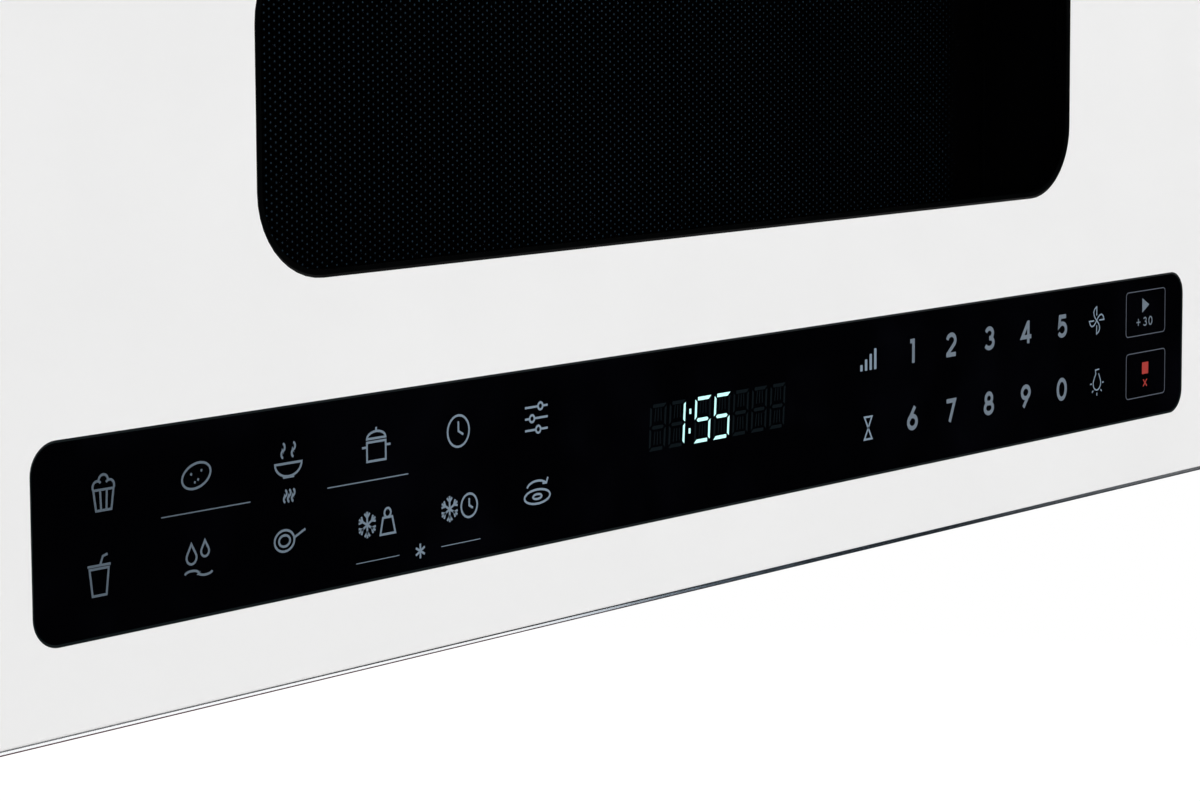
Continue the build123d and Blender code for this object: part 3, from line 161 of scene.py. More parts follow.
class CasingSettings(bpy.types.PropertyGroup):
    """Casing, fasteners, filters and cavity details."""
    paint: FloatVectorProperty(name="Casing paint", description="Colour of the painted casing",
                               default=tone(224, 224, 222), **COLOUR)
    screw_r: FloatProperty(name="Screw head radius", description="Radius of a casing screw's head",
                           default=3.8 * MM, min=1 * MM, **LENGTH)
    bead_w: FloatProperty(name="Bead width", description="Width of the stiffening beads",
                          default=9 * MM, min=2 * MM, **LENGTH)
    strand: FloatProperty(name="Strand width", description="Width of one strand of the grease mesh",
                          default=0.9 * MM, min=0.2 * MM, **LENGTH)
    mesh_step: FloatProperty(name="Mesh step", description="Half length of one mesh diamond",
                             default=4.2 * MM, min=1 * MM, **LENGTH)
    vent_rows: IntProperty(name="Vent rows", description="Rows of holes in the cavity's air vent",
                           default=7, min=1)
    vent_columns: IntProperty(name="Vent columns", description="Columns of holes in the cavity's vent",
                              default=12, min=1)


class StudioSettings(bpy.types.PropertyGroup):
    """Camera, light and floor."""
    key: FloatProperty(name="Key lamp", description="Power of the large lamp in front", default=30.5, **POWER)
    fill: FloatProperty(name="Fill lamp", description="Power of the lamp on the right", default=21.0, **POWER)
    back: FloatProperty(name="Back lamp", description="Power of the lamp behind", default=24.0, **POWER)
    ambient: FloatProperty(name="Ambient", description="Level of light from all round", default=0.55, min=0)
    floor_z: FloatProperty(name="Floor height", description="Floor below the object's base",
                           default=-0.45, **LENGTH)


# ================================================================ node trees and materials
class NodeTree:
    """Nodes of one tree, made and joined in code."""

    def __init__(self, tree):
        self.tree = tree

    def put(self, value, target):
        """Links a socket to the target, or sets the target to a plain value."""
        if isinstance(value, bpy.types.NodeSocket):
            self.tree.links.new(value, target)
        else:
            target.default_value = value

    def add(self, kind, links=(), **facts):
        """New node with its settings, its inputs linked or set by name or number."""
        node = self.tree.nodes.new(kind)
        for name, value in facts.items():
            setattr(node, name, value)
        for socket, value in dict(links).items():
            self.put(value, node.inputs[socket])
        return node

    def out(self, kind, links=(), **facts):
        """First output of a new node."""
        return self.add(kind, links, **facts).outputs[0]

    def maths(self, operation, *terms):
        """Arithmetic on numbers or sockets."""
        return self.out("ShaderNodeMath", enumerate(terms), operation=operation)

    def ramp(self, source, low, high, first=0.0, last=1.0, smooth=False):
        """Maps a value from low..high to first..last."""
        ends = {"Value": source, "From Min": low, "From Max": high, "To Min": first, "To Max": last}
        return self.out("ShaderNodeMapRange", ends, interpolation_type="SMOOTHSTEP" if smooth else "LINEAR")


class Finish(NodeTree):
    """One procedural material round a single Principled shader."""

    def __init__(self, name, colour, rough, metal=0.0, specular=0.5):
        self.material = bpy.data.materials.new(name)
        self.material.use_nodes = True
        super().__init__(self.material.node_tree)
        self.shader = self.tree.nodes["Principled BSDF"]
        self.colour = colour
        self.shade("Base Color", (*colour, 1.0))
        self.shade("Roughness", rough)
        self.shade("Metallic", metal)
        self.shade("Specular IOR Level", specular)
        self.place = self.add("ShaderNodeTexCoord").outputs["Object"]

    def shade(self, socket, value):
        """Links or sets one input of the shader."""
        self.put(value, self.shader.inputs[socket])
        return self

    def noise(self, scale, detail=2.0, stretch=None):
        """Soft random pattern from 0 to 1, drawn out along the axes where a stretch is given."""
        place = self.place
        if stretch:
            place = self.out("ShaderNodeMapping", {"Vector": place, "Scale": stretch})
        return self.out("ShaderNodeTexNoise", {"Vector": place, "Scale": scale, "Detail": detail})

    def cells(self, scale, centres=False):
        """Random value for each cell of a crystal pattern, or the distance to the cells' centres."""
        cell = self.add("ShaderNodeTexVoronoi", {"Vector": self.place, "Scale": scale}).outputs
        return cell["Distance"] if centres else self.out("ShaderNodeSeparateColor", {"Color": cell["Color"]})

    def bands(self, scale, axis):
        """Parallel bands across one axis."""
        wave = self.add("ShaderNodeTexWave", {"Vector": self.place, "Scale": scale}, bands_direction=axis)
        return wave.outputs["Fac"]

    def axis(self, letter):
        """One object coordinate, in metres."""
        return self.add("ShaderNodeSeparateXYZ", {"Vector": self.place}).outputs[letter]

    def blend(self, factor, *ends):
        """Colour that goes from the first end to the second; either may be a socket."""
        first, second = (end if isinstance(end, bpy.types.NodeSocket) else (*end, 1.0) for end in ends)
        return self.add("ShaderNodeMix", {"Factor": factor, 6: first, 7: second}, data_type="RGBA").outputs[2]

    def paint(self, factor, *ends):
        """Base colour that goes from the first end to the second."""
        return self.shade("Base Color", self.blend(factor, *ends))

    def mottle(self, source, spread):
        """Varies the base colour by a share either side."""
        return self.paint(source, [c * (1 - spread) for c in self.colour],
                          [min(c * (1 + spread), 1) for c in self.colour])

    def polish(self, source, low, high):
        """Roughness that follows a pattern."""
        return self.shade("Roughness", self.ramp(source, 0.3, 0.7, low, high))

    def relief(self, source, depth):
        """Bump of a given depth in millimetres."""
        return self.shade("Normal", self.out("ShaderNodeBump", {"Distance": depth * MM, "Height": source}))


def painted(name, colour, rough, texture=650.0, depth=0.012):
    """Baked enamel or powder coat with a fine orange peel."""
    finish = Finish(name, colour, rough)
    finish.mottle(finish.noise(9.0, 1.0), 0.012)
    finish.polish(finish.noise(24.0), rough - 0.05, rough + 0.05)
    return finish.relief(finish.noise(texture, 1.0), depth)


def galvanised():
    """Zinc-coated steel with its crystal pattern."""
    finish = Finish("zinc_sheet", (0.52, 0.53, 0.54), 0.42, metal=1.0)
    crystal = finish.cells(120.0)
    finish.paint(crystal, (0.48, 0.49, 0.50), (0.57, 0.58, 0.59))
    finish.polish(crystal, 0.34, 0.52)
    return finish.relief(finish.noise(400.0), 0.006)


def brushed(name, colour, low, high):
    """Steel or aluminium brushed along X, its roughness between low and high."""
    finish = Finish(name, colour, low, metal=1.0)
    grain = finish.noise(1.0, 3.0, (6.0, 900.0, 900.0))
    finish.mottle(grain, 0.10)
    finish.polish(grain, low, high)
    finish.shade("Anisotropic", 0.5)
    return finish.relief(grain, 0.004)


def plain_metal(name, colour, rough):
    """Cast, plated or rolled metal."""
    finish = Finish(name, colour, rough, metal=1.0)
    finish.mottle(finish.noise(60.0), 0.06)
    finish.polish(finish.noise(180.0), rough - 0.05, rough + 0.08)
    return finish.relief(finish.noise(700.0), 0.004)


def moulded(name, colour, rough=0.45):
    """Injection-moulded plastic with a spark-eroded texture."""
    finish = Finish(name, colour, rough, specular=0.45)
    finish.mottle(finish.noise(30.0, 1.0), 0.04)
    finish.polish(finish.noise(45.0), rough - 0.06, rough + 0.06)
    return finish.relief(finish.noise(900.0, 1.0), 0.02)


def clear(name, colour, alpha, rough=0.06, specular=0.6):
    """Thin clear glass or plastic."""
    finish = Finish(name, colour, rough, specular=specular)
    finish.mottle(finish.noise(12.0, 1.0), 0.03)
    finish.polish(finish.noise(50.0), rough * 0.7, rough * 1.4)
    return finish.shade("Alpha", alpha)


def black_glass(name, colour):
    """Glass printed black on its back, with a faint haze."""
    finish = Finish(name, colour, 0.05, specular=0.2)
    haze = finish.ramp(finish.noise(26.0, 3.0), 0.45, 0.75)
    finish.paint(haze, colour, [c * 2.6 for c in colour])
    return finish.polish(finish.noise(14.0), 0.04, 0.08)


def window_tint():
    """Grey glass over the dotted screen."""
    finish = Finish("window_tint", (0.0002, 0.0002, 0.0003), 0.05, specular=0.2)
    finish.polish(finish.noise(14.0), 0.04, 0.08)
    return finish.shade("Alpha", 0.26)


def screen_core(colour, end):
    """Painted light seen through the screen's holes: a bluish colour that rises, then dies away to the right
    and ends softly at the field's last column, with a faint random cloud.
    """
    finish = Finish("screen_core", colour, 0.6, specular=0.0)
    across = finish.axis("X")
    # painted light: these ramps and the cloud stand in for how the light seen through the holes grows and
    # fades along X
    rise = finish.ramp(across, -0.20, -0.05, 0.78, 0.88)
    light_falloff = finish.ramp(across, -0.05, end - 0.02, 1.0, 0.54)
    last = finish.ramp(across, end - 0.016, end, 1.0, 0.0, smooth=True)
    light_cloud = finish.ramp(finish.noise(16.0), 0.3, 0.7, 0.93, 1.05)
    fade = finish.maths("MULTIPLY", finish.maths("MULTIPLY", rise, light_falloff), last)
    return finish.paint(finish.maths("MULTIPLY", fade, light_cloud), DEEP_BLACK, colour)


def board_green(name, colour):
    """Circuit board with copper tracks under its varnish."""
    finish = Finish(name, colour, 0.38)
    tracks = finish.ramp(finish.cells(320.0), 0.55, 0.6)
    finish.paint(tracks, colour, [min(c * 1.9 + 0.01, 1) for c in colour])
    return finish.relief(tracks, 0.03)


def laminated():
    """Transformer: stacked core plates, with enamelled copper windings at its two ends."""
    finish = Finish("transformer", (0.20, 0.20, 0.21), 0.5, metal=0.8)
    low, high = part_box("hv_transformer")
    core_half, foot = 0.0325, 0.004        # half the core's depth, and the plates under the windings
    plates = finish.bands(520.0, "X")
    steel = finish.blend(plates, (0.12, 0.12, 0.13), (0.30, 0.30, 0.31))
    copper = finish.blend(finish.bands(640.0, "Z"), (0.20, 0.06, 0.02), (0.62, 0.26, 0.11))
    away = finish.maths("ABSOLUTE", finish.maths("SUBTRACT", finish.axis("Y"), (low[1] + high[1]) / 2))
    wound = finish.maths("GREATER_THAN", away, core_half)
    above = finish.maths("GREATER_THAN", finish.axis("Z"), low[2] + foot)
    finish.paint(finish.maths("MULTIPLY", wound, above), steel, copper)
    return finish.relief(plates, 0.05)


def charcoal():
    """Bed of charcoal grains."""
    finish = Finish("filter_charcoal", (0.018, 0.018, 0.019), 0.8)
    grains = finish.cells(420.0)
    finish.mottle(grains, 0.6)
    return finish.relief(grains, 0.8)


def speckled(name, colour, rough=0.32):
    """Vitreous enamel with fine dark specks."""
    finish = Finish(name, colour, rough)
    specks = finish.ramp(finish.cells(300.0, centres=True), 0.16, 0.10)
    finish.paint(specks, colour, [c * 0.35 for c in colour])
    finish.polish(finish.noise(20.0), rough - 0.05, rough + 0.05)
    return finish.relief(finish.noise(120.0, 1.0), 0.02)


def glowing(name, colour, strength):
    """Segment that gives light of its own."""
    finish = Finish(name, tuple(c * 0.3 for c in colour), 0.5, specular=0.1)
    finish.mottle(finish.noise(300.0), 0.05)
    finish.shade("Emission Color", (*colour, 1.0))
    return finish.shade("Emission Strength", strength)


def printed(name, colour, specular=0.15, left_shade=1.0):
    """Ceramic ink on glass; on the far left a painted shade can make it darker than in the middle."""
    finish = Finish(name, colour, 0.5, specular=specular)
    if left_shade < 1.0:
        # painted shade: the ink's colour is darkened towards the far left
        finish.paint(finish.ramp(finish.axis("X"), -0.320, -0.105, left_shade, 1.0), (0.0, 0.0, 0.0), colour)
    else:
        finish.mottle(finish.noise(800.0), 0.06)
    return finish.relief(finish.noise(1500.0, 1.0), 0.004)


# ================================================================ meshes
def new_object(name, data):
    """Object at the origin, in the scene."""
    piece = bpy.data.objects.new(name, data)
    bpy.context.scene.collection.objects.link(piece)
    return piece


def template(name, shape):
    """Plain object of a bmesh in metres, its faces turned outward."""
    bmesh.ops.recalc_face_normals(shape, faces=shape.faces)
    mesh = bpy.data.meshes.new(name)
    shape.to_mesh(mesh)
    shape.free()
    return new_object(name, mesh)


def settled(piece, body):
    """Says which body a piece rides on."""
    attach(piece, body)
    return piece


def finished(name, shape, finish):
    """Turns a bmesh in metres into a piece of the door."""
    piece = template(name, shape)
    piece.data.materials.append(finish.material)
    return settled(piece, "door")


def applied(piece):
    """Works out a piece's modifiers, takes them off and gives the mesh that they made."""
    graph = bpy.context.evaluated_depsgraph_get()
    made = bpy.data.meshes.new_from_object(piece.evaluated_get(graph), depsgraph=graph)
    piece.modifiers.clear()
    piece.data = made
    return made


def skin(rings, looped=False, shape=None):
    """Walls between neighbouring rings of points in millimetres, with two end faces unless it is looped."""
    shape = shape or bmesh.new()
    rows = [[shape.verts.new([length * MM for length in point]) for point in ring] for ring in rings]
    for low, high in zip(rows, rows[1:] + (rows[:1] if looped else [])):
        count = max(len(low), len(high))
        for i in range(count):
            j = (i + 1) % count
            corners = (low[i % len(low)], low[j % len(low)], high[j % len(high)], high[i % len(high)])
            shape.faces.new(list(dict.fromkeys(corners)))
    for row in [] if looped else [rows[0], rows[-1]]:
        if len(row) > 2:
            shape.faces.new(row)
    return shape


def lathe(profile, steps):
    """Closed turned shape about Z from (radius, height) points, first and last on the axis."""
    return skin([[(x, y, z) for x, y in oval(0, 0, r, r, steps if r else 1)] for r, z in profile])


def ribbon(points, width, closed):
    """Left and right edges of a flat line of constant width, mitred at its corners."""
    points = [Vector(p) for p in points]
    count, half = len(points), width / 2
    left, right = [], []
    for i, here in enumerate(points):
        legs = []
        if closed or i > 0:
            legs.append((here - points[i - 1]).normalized())
        if closed or i < count - 1:
            legs.append((points[(i + 1) % count] - here).normalized())
        across = sum((Vector((-leg.y, leg.x)) for leg in legs), Vector((0, 0))).normalized()
        reach = half / max(across.dot(Vector((-legs[0].y, legs[0].x))), MITRE_LIMIT)
        left.append(here + across * reach)
        right.append(here - across * reach)
    return left, right


class Print:
    """Flat print on the door: lines and filled shapes in millimetres from a centre."""

    def __init__(self, back=PRINT_BACK, front=PRINT_FRONT, centre=(0.0, STRIP_Z)):
        self.shape = bmesh.new()
        self.back, self.front = back, front
        self.x, self.z = centre
        self.count = 0

    def levels(self, *sides):
        """Each side's points at the front and at the back; every shape's front lies on its own level."""
        self.count += 1
        front = self.front - PRINT_STEP * (self.count % 6)
        return [[(x + self.x, y, z + self.z) for x, z in side] for side in sides for y in (front, self.back)]

    def wall(self, ring):
        """Closed prism over a ring of points."""
        skin(self.levels(ring), shape=self.shape)

    def line(self, points, width, closed=False):
        """Line of constant width, as one closed strip."""
        left_front, left_back, right_front, right_back = self.levels(*ribbon(points, width, closed))
        skin(list(zip(left_front, right_front, right_back, left_back)), closed, self.shape)

    def done(self, name, finish):
        """Makes the print a piece of the door."""
        return finished(name, self.shape, finish)


def arc(cx, cy, rx, ry, start, end, steps=14):
    """Points along part of an ellipse, from one angle to another in degrees."""
    angles = radians(start + (end - start) * i / steps for i in range(steps + 1))
    return [(cx + rx * math.cos(t), cy + ry * math.sin(t)) for t in angles]


def oval(cx, cy, rx, ry, steps=24):
    """Closed ellipse, without its repeated last point."""
    return arc(cx, cy, rx, ry, 0, 360, steps)[:-1]


def rounded(x0, y0, x1, y1, r, steps=6):
    """Rectangle with round corners."""
    ring = []
    for i, (cx, cy) in enumerate(((x1 - r, y1 - r), (x0 + r, y1 - r), (x0 + r, y0 + r), (x1 - r, y0 + r))):
        ring += arc(cx, cy, r, r, 90 * i, 90 * i + 90, steps)
    return ring


def bar(x0, y0, x1, y1):
    """Plain rectangle."""
    return [(x0, y0), (x1, y0), (x1, y1), (x0, y1)]


def moved(points, dx, dy, scale=1.0):
    """Points scaled about their origin, then moved."""
    return [(x * scale + dx, y * scale + dy) for x, y in points]


def turned(points, angle):
    """Points turned about their origin, in degrees."""
    c, s = math.cos(math.radians(angle)), math.sin(math.radians(angle))
    return [(x * c - y * s, x * s + y * c) for x, y in points]


# ================================================================ key legends
# Each number is a list of (line, closed), on centre lines from -1 to 1 in height.
TIP = 1.19                         # where an upright stem ends, level with the outside of the bowls
LEANING_TIP = 1.12                 # the same for a slanting stem
SIX = [([(0.42, LEANING_TIP), (-0.58, -0.14)], False), (oval(0, -0.40, 0.70, 0.60), True)]
NUMBERS = {
    "0": [(oval(0, 0, 0.76, 1.0, 32), True)],
    "1": [([(-0.42, 1.0), (0.12, 1.0), (0.12, -TIP)], False)],
    "2": [(arc(0, 0.42, 0.70, 0.58, 170, -38) + [(-0.64, -0.93)], False),
          ([(-0.86, -1.0), (0.80, -1.0)], False)],
    "3": [(arc(0, 0.48, 0.62, 0.52, 160, -90), False), (arc(0, -0.48, 0.74, 0.52, 90, -155), False)],
    "4": [([(0.40, -TIP), (0.40, TIP * 0.98)], False),
          ([(0.36, 1.02), (-0.74, -0.50), (0.95, -0.50)], False)],
    "5": [([(0.70, 1.0), (-0.44, 1.0), (-0.56, 0.08)] + arc(-0.02, -0.36, 0.74, 0.64, 118, -150), False)],
    "6": SIX,
    "7": [([(-0.78, 1.0), (0.66, 1.0), (-0.22, -LEANING_TIP)], False)],
    "8": [(oval(0, 0.50, 0.56, 0.50), True), (oval(0, -0.47, 0.70, 0.53), True)],
    "9": [(turned(line, 180), closed) for line, closed in SIX],
}
KEY_COLUMNS = (128.0, 156.2, 184.9, 213.6, 242.5)
KEY_ROWS = {16.0: "12345", -12.1: "67890"}
FINE_FROM = 250.0                  # pictograms right of here have a finer line
LEVEL_BARS = [(91.0 + 3.2 * i, 11.1, 92.6 + 3.2 * i, 13.7 + 2.0 * i) for i in range(4)]
KEY_BOXES = ((295.9, 5.8, 329.7, 26.1), (296.4, -22.7, 330.1, -2.1))
DIVIDERS = (((-290.7, 2.4), (-251.3, 2.4)), ((-215.4, 2.4), (-175.8, 2.4)),
            ((-202.0, -25.6), (-180.7, -25.6)), ((-159.4, -25.6), (-139.0, -25.6)))
START_ARROW = [(309.8, 22.7), (315.8, 19.4), (309.8, 16.1)]
START_PLUS = ([(304.9, 11.9), (308.1, 11.9)], [(306.5, 13.5), (306.5, 10.3)])
START_NUMBERS = {"3": 312.2, "0": 317.0}
START_NUMBER_Z, START_NUMBER_H = 11.9, 4.2
PLUS_W, MARK_W = 0.55, 0.6         # line widths in the start and stop marks
BOX_R = 1.8
STOP_SQUARE = bar(310.1, -12.3, 315.5, -6.9)
STOP_CROSS = ([(311.2, -18.0), (314.4, -14.8)], [(311.2, -14.8), (314.4, -18.0)])


def flake(r):
    """Snow crystal: three crossed lines with small side arms."""
    arm = [(r * 0.88, r * 0.28), (r * 0.56, 0), (r * 0.88, -r * 0.28)]
    return ([(turned([(-r, 0), (r, 0)], angle), False) for angle in (30, 90, 150)]
            + [(turned(arm, angle), False) for angle in range(30, 390, 60)])


def clock(r):
    """Clock face with two hands."""
    return [(oval(0, 0, r, r), True), ([(0, r * 0.62), (0, 0), (r * 0.45, -r * 0.25)], False)]


def placed(lines, dx, dy, scale=1.0):
    """A pictogram's lines, scaled and moved."""
    return [(moved(line, dx, dy, scale), closed) for line, closed in lines]


def steam(x, y):
    """One wisp of steam."""
    return (arc(x, y + 1.2, 0.8, 1.2, -90, 90, 6)[::-1] + arc(x, y - 1.2, 0.8, 1.2, 90, 270, 6), False)


def pictograms():
    """Line pictograms of the function keys by place: (x, z) -> lines."""
    drop = [(0, 3.4)] + arc(0, -1.0, 2.2, 2.2, 38, -218, 12)
    blade = [(0.0, 0.0), (-1.3, 1.2), (-2.2, 2.5), (-2.5, 3.9), (-1.8, 5.2), (0.0, 6.1), (0.0, 2.2)]
    tub = [([(-4.2, 0.6), (-3.2, -6.0), (3.2, -6.0), (4.2, 0.6)], True),
           ([(-1.4, 0.6), (-1.1, -6.0)], False), ([(1.4, 0.6), (1.1, -6.0)], False),
           (arc(-2.6, 1.6, 1.9, 1.9, 215, 40, 8), False), (arc(0, 3.4, 2.0, 2.0, 190, -10, 8), False),
           (arc(2.6, 1.6, 1.9, 1.9, 140, -35, 8), False)]
    tuber = [(turned(oval(0, 0, 6.4, 4.0, 28), 14), True), ([(-2.6, 0.9), (-1.9, 0.5)], False),
             ([(0.4, -1.2), (1.1, -1.5)], False), ([(1.9, 1.6), (2.6, 1.4)], False),
             ([(-1.0, -2.0), (-0.4, -2.2)], False)]
    bowl = [(arc(0, -1.4, 6.2, 4.4, 180, 360, 16), True), ([(-2.6, -6.0), (2.6, -6.0)], False),
            steam(-2.4, 3.0), steam(2.4, 3.0)]
    pot = [([(-4.6, 1.0), (-4.6, -5.6), (4.6, -5.6), (4.6, 1.0)], True),
           ([(-7.0, -0.6), (-4.6, -0.6)], False), ([(4.6, -0.6), (7.0, -0.6)], False),
           (arc(0, 2.2, 4.6, 2.4, 180, 0, 10), True), ([(0, 4.6), (0, 6.0)], False)]
    sliders = []
    for z, x in ((4.2, 2.2), (0.0, -2.4), (-4.2, 1.0)):
        sliders += [([(-6.2, z), (x - 1.3, z)], False), ([(x + 1.3, z), (6.2, z)], False),
                    (oval(x, z, 1.3, 1.3, 12), True)]
    cup = [([(-4.0, 2.6), (-2.9, -6.0), (2.9, -6.0), (4.0, 2.6)], True), ([(-4.8, 3.6), (4.8, 3.6)], False),
           ([(0.4, 3.6), (1.6, 6.4), (3.6, 6.9)], False)]
    melt = [(moved(drop, -3.0, 1.4), True), (moved(drop, 3.0, 2.6, 0.8), True),
            (arc(-3.0, -5.0, 3.0, 1.0, 180, 0, 8) + arc(3.0, -5.0, 3.0, 1.0, 180, 360, 8), False)]
    pan = [(oval(-2.2, 0, 4.6, 3.6, 24), True), ([(2.4, 0.6), (7.6, 2.8)], False),
           (oval(-2.2, 0, 2.6, 1.9, 18), True)]
    crystal = placed(flake(4.6), -5.0, 0)
    weight = crystal + [([(1.4, -4.4), (2.8, 1.4), (7.4, 1.4), (8.8, -4.4)], True),
                        (oval(5.1, 3.0, 1.6, 1.6, 14), True)]
    table = [(oval(0, -1.6, 7.0, 2.6, 28), True), (oval(0, -1.6, 2.4, 0.9, 14), True),
             (arc(0, 1.6, 5.6, 2.6, 170, 30, 12), False), ([(5.9, 4.9), (5.0, 2.9), (2.9, 3.0)], False)]
    glass = [([(-2.6, 4.6), (2.6, 4.6), (-2.6, -4.6), (2.6, -4.6)], True)]
    fan = [(turned(blade, angle), False) for angle in (0, 90, 180, 270)]
    bulb = [([(1.8, 5.6), (-1.4, 5.4), (-1.0, 3.6), (-2.1, 2.1)] + arc(0, -0.6, 3.15, 3.1, 150, 390, 18)
             + [(2.2, 2.1), (1.3, 3.7)], False)]
    bulb += [(moved(turned([(4.3, 0), (5.6, 0)], angle), 0, -0.6), False) for angle in range(180, 405, 45)]
    return {
        (-314.9, 14.2): tub, (-275.2, 14.2): tuber, (-233.6, 14.6): bowl, (-191.5, 14.6): pot,
        (-150.0, 14.4): clock(5.6), (-108.4, 14.4): sliders,
        (-317.3, -12.8): cup, (-274.9, -12.8): melt, (-233.7, -12.8): pan, (-191.4, -12.8): weight,
        (-149.9, -12.8): crystal + placed(clock(4.2), 5.2, 0), (-108.2, -12.8): table, (96.6, -12.7): glass,
        (-233.4, 2.2): placed([steam(-2.2, 0), steam(0, 0), steam(2.2, 0)], 0, 0, 0.85),
        (-170.1, -25.6): flake(2.6)[:3], (270.9, 16.0): fan, (271.6, -11.8): bulb,
    }


def draw_number(sheet, text, x, z, height, width):
    """One number from its centre lines."""
    for line, closed in NUMBERS[text]:
        sheet.line(moved(line, x, z, (height - width) / 2), width, closed)


def build_legends(options):
    """Numbers, pictograms, key boxes and dividers."""
    number_ink = printed("number_ink", options.number)
    numbers, signs, boxes, rules, go, halt = (Print() for _ in range(6))
    for z, row in KEY_ROWS.items():
        for text, x in zip(row, KEY_COLUMNS):
            draw_number(numbers, text, x, z, options.digit_h / MM, options.digit_w / MM)
    numbers.done("key_numbers", number_ink)
    for (x, z), lines in pictograms().items():
        width = options.line_w / MM * (0.75 if x > FINE_FROM else 1.0)
        for line, closed in lines:
            signs.line(moved(line, x, z), width, closed)
    for level in LEVEL_BARS:
        signs.wall(bar(*level))
    # the pictogram and rule inks take the painted shade on the far left
    signs.done("key_pictograms", printed("legend_ink", options.legend, left_shade=0.4))
    for box in KEY_BOXES:
        boxes.line(rounded(*box, BOX_R), options.rule_w / MM, True)
    boxes.done("key_boxes", printed("box_ink", options.rule))
    for pair in DIVIDERS:
        rules.line(pair, options.rule_w / MM * (1.0 if pair[0][1] > 0 else 0.7))
    rules.done("key_rules", printed("rule_ink", tuple(c * 0.85 for c in options.legend), left_shade=0.4))
    go.wall(START_ARROW)
    for line in START_PLUS:
        go.line(line, PLUS_W)
    for text, x in START_NUMBERS.items():
        draw_number(go, text, x, START_NUMBER_Z, START_NUMBER_H, MARK_W)
    go.done("start_mark", number_ink)
    halt.wall(STOP_SQUARE)
    for line in STOP_CROSS:
        halt.line(line, MARK_W)
    halt.done("stop_mark", printed("stop_ink", options.stop))


# ================================================================ display
CELL_LEFT = (-44.6, -33.0, -17.4, -5.5, 6.3, 18.1, 29.9)
CELL_W, CELL_H = 9.7, 17.7
CELL_BASE = -5.7
SEGMENT_T, SEGMENT_W = 1.35, 1.1   # thickness of the level and of the upright bars
LEAN = 0.065                       # sideways share of the digits' slant
SEGMENT_GAP = 0.5
LIT = {1: "bc", 2: "afgcd", 3: "afgcd"}
COLON_HEIGHTS = (5.2, 12.7)
FINE_HALF = 0.25                   # half width of the thin inner bars
LIT_LEVEL = 0.95                   # light that the lit segments give


def leaned(ring, x0):
    """Points of a cell, slanted and placed on the strip."""
    return [(x0 + x + z * LEAN, z + CELL_BASE) for x, z in ring]


def segments(x0):
    """The seven bars of one display cell, as rings of points."""
    t, u, g, w, h = SEGMENT_T, SEGMENT_W, SEGMENT_GAP, CELL_W, CELL_H
    half = h / 2
    bars = {
        "a": [(u + g, h), (w - 0.1, h), (w - u - g, h - t), (u + g, h - t)],
        "f": [(0, h - 0.8), (u, h - 1.8), (u, half + t / 2 + g), (0, half + 0.3)],
        "b": [(w - u, h - t - g), (w, h - 1.0), (w, half + 0.3), (w - u, half + t / 2 + g)],
        "g": [(u + g - 0.3, half), (u + g + 0.4, half + t / 2), (w - u - g - 0.4, half + t / 2),
              (w - u - g + 0.3, half), (w - u - g - 0.4, half - t / 2), (u + g + 0.4, half - t / 2)],
    }
    for name, twin in (("d", "a"), ("c", "f"), ("e", "b")):
        bars[name] = [(w - x, h - z) for x, z in bars[twin]]
    return {name: leaned(ring, x0) for name, ring in bars.items()}


def fine_bars(x0):
    """Thin inner bars of one cell: a middle and two slanting ones in each half."""
    rings = []
    for low in (0.0, CELL_H / 2):
        z0, z1 = low + SEGMENT_T + 0.9, low + CELL_H / 2 - SEGMENT_T - 0.3
        for aside in (-1.9, 0.0, 1.9):
            x = CELL_W / 2 + aside
            top = x - aside * 0.36 / 1.9
            ring = [(x - FINE_HALF, z0), (x + FINE_HALF, z0), (top + FINE_HALF, z1), (top - FINE_HALF, z1)]
            rings.append(leaned(ring, x0))
    return rings


def build_display(options):
    """Lit and unlit segments behind the strip's glass."""
    lit, unlit = Print(), Print()
    for index, x0 in enumerate(CELL_LEFT):
        for name, ring in segments(x0).items():
            (lit if name in LIT.get(index, "") else unlit).wall(ring)
        for ring in fine_bars(x0):
            unlit.wall(ring)
    for rise in COLON_HEIGHTS:
        lit.wall(moved(bar(-0.55, -1.0, 0.55, 1.0), CELL_LEFT[2] - 2.9 + rise * LEAN, CELL_BASE + rise))
    lit.done("display_lit", glowing("lit_segment", options.lit, LIT_LEVEL))
    unlit.done("display_unlit", printed("unlit_segment", options.ghost, 0.0))


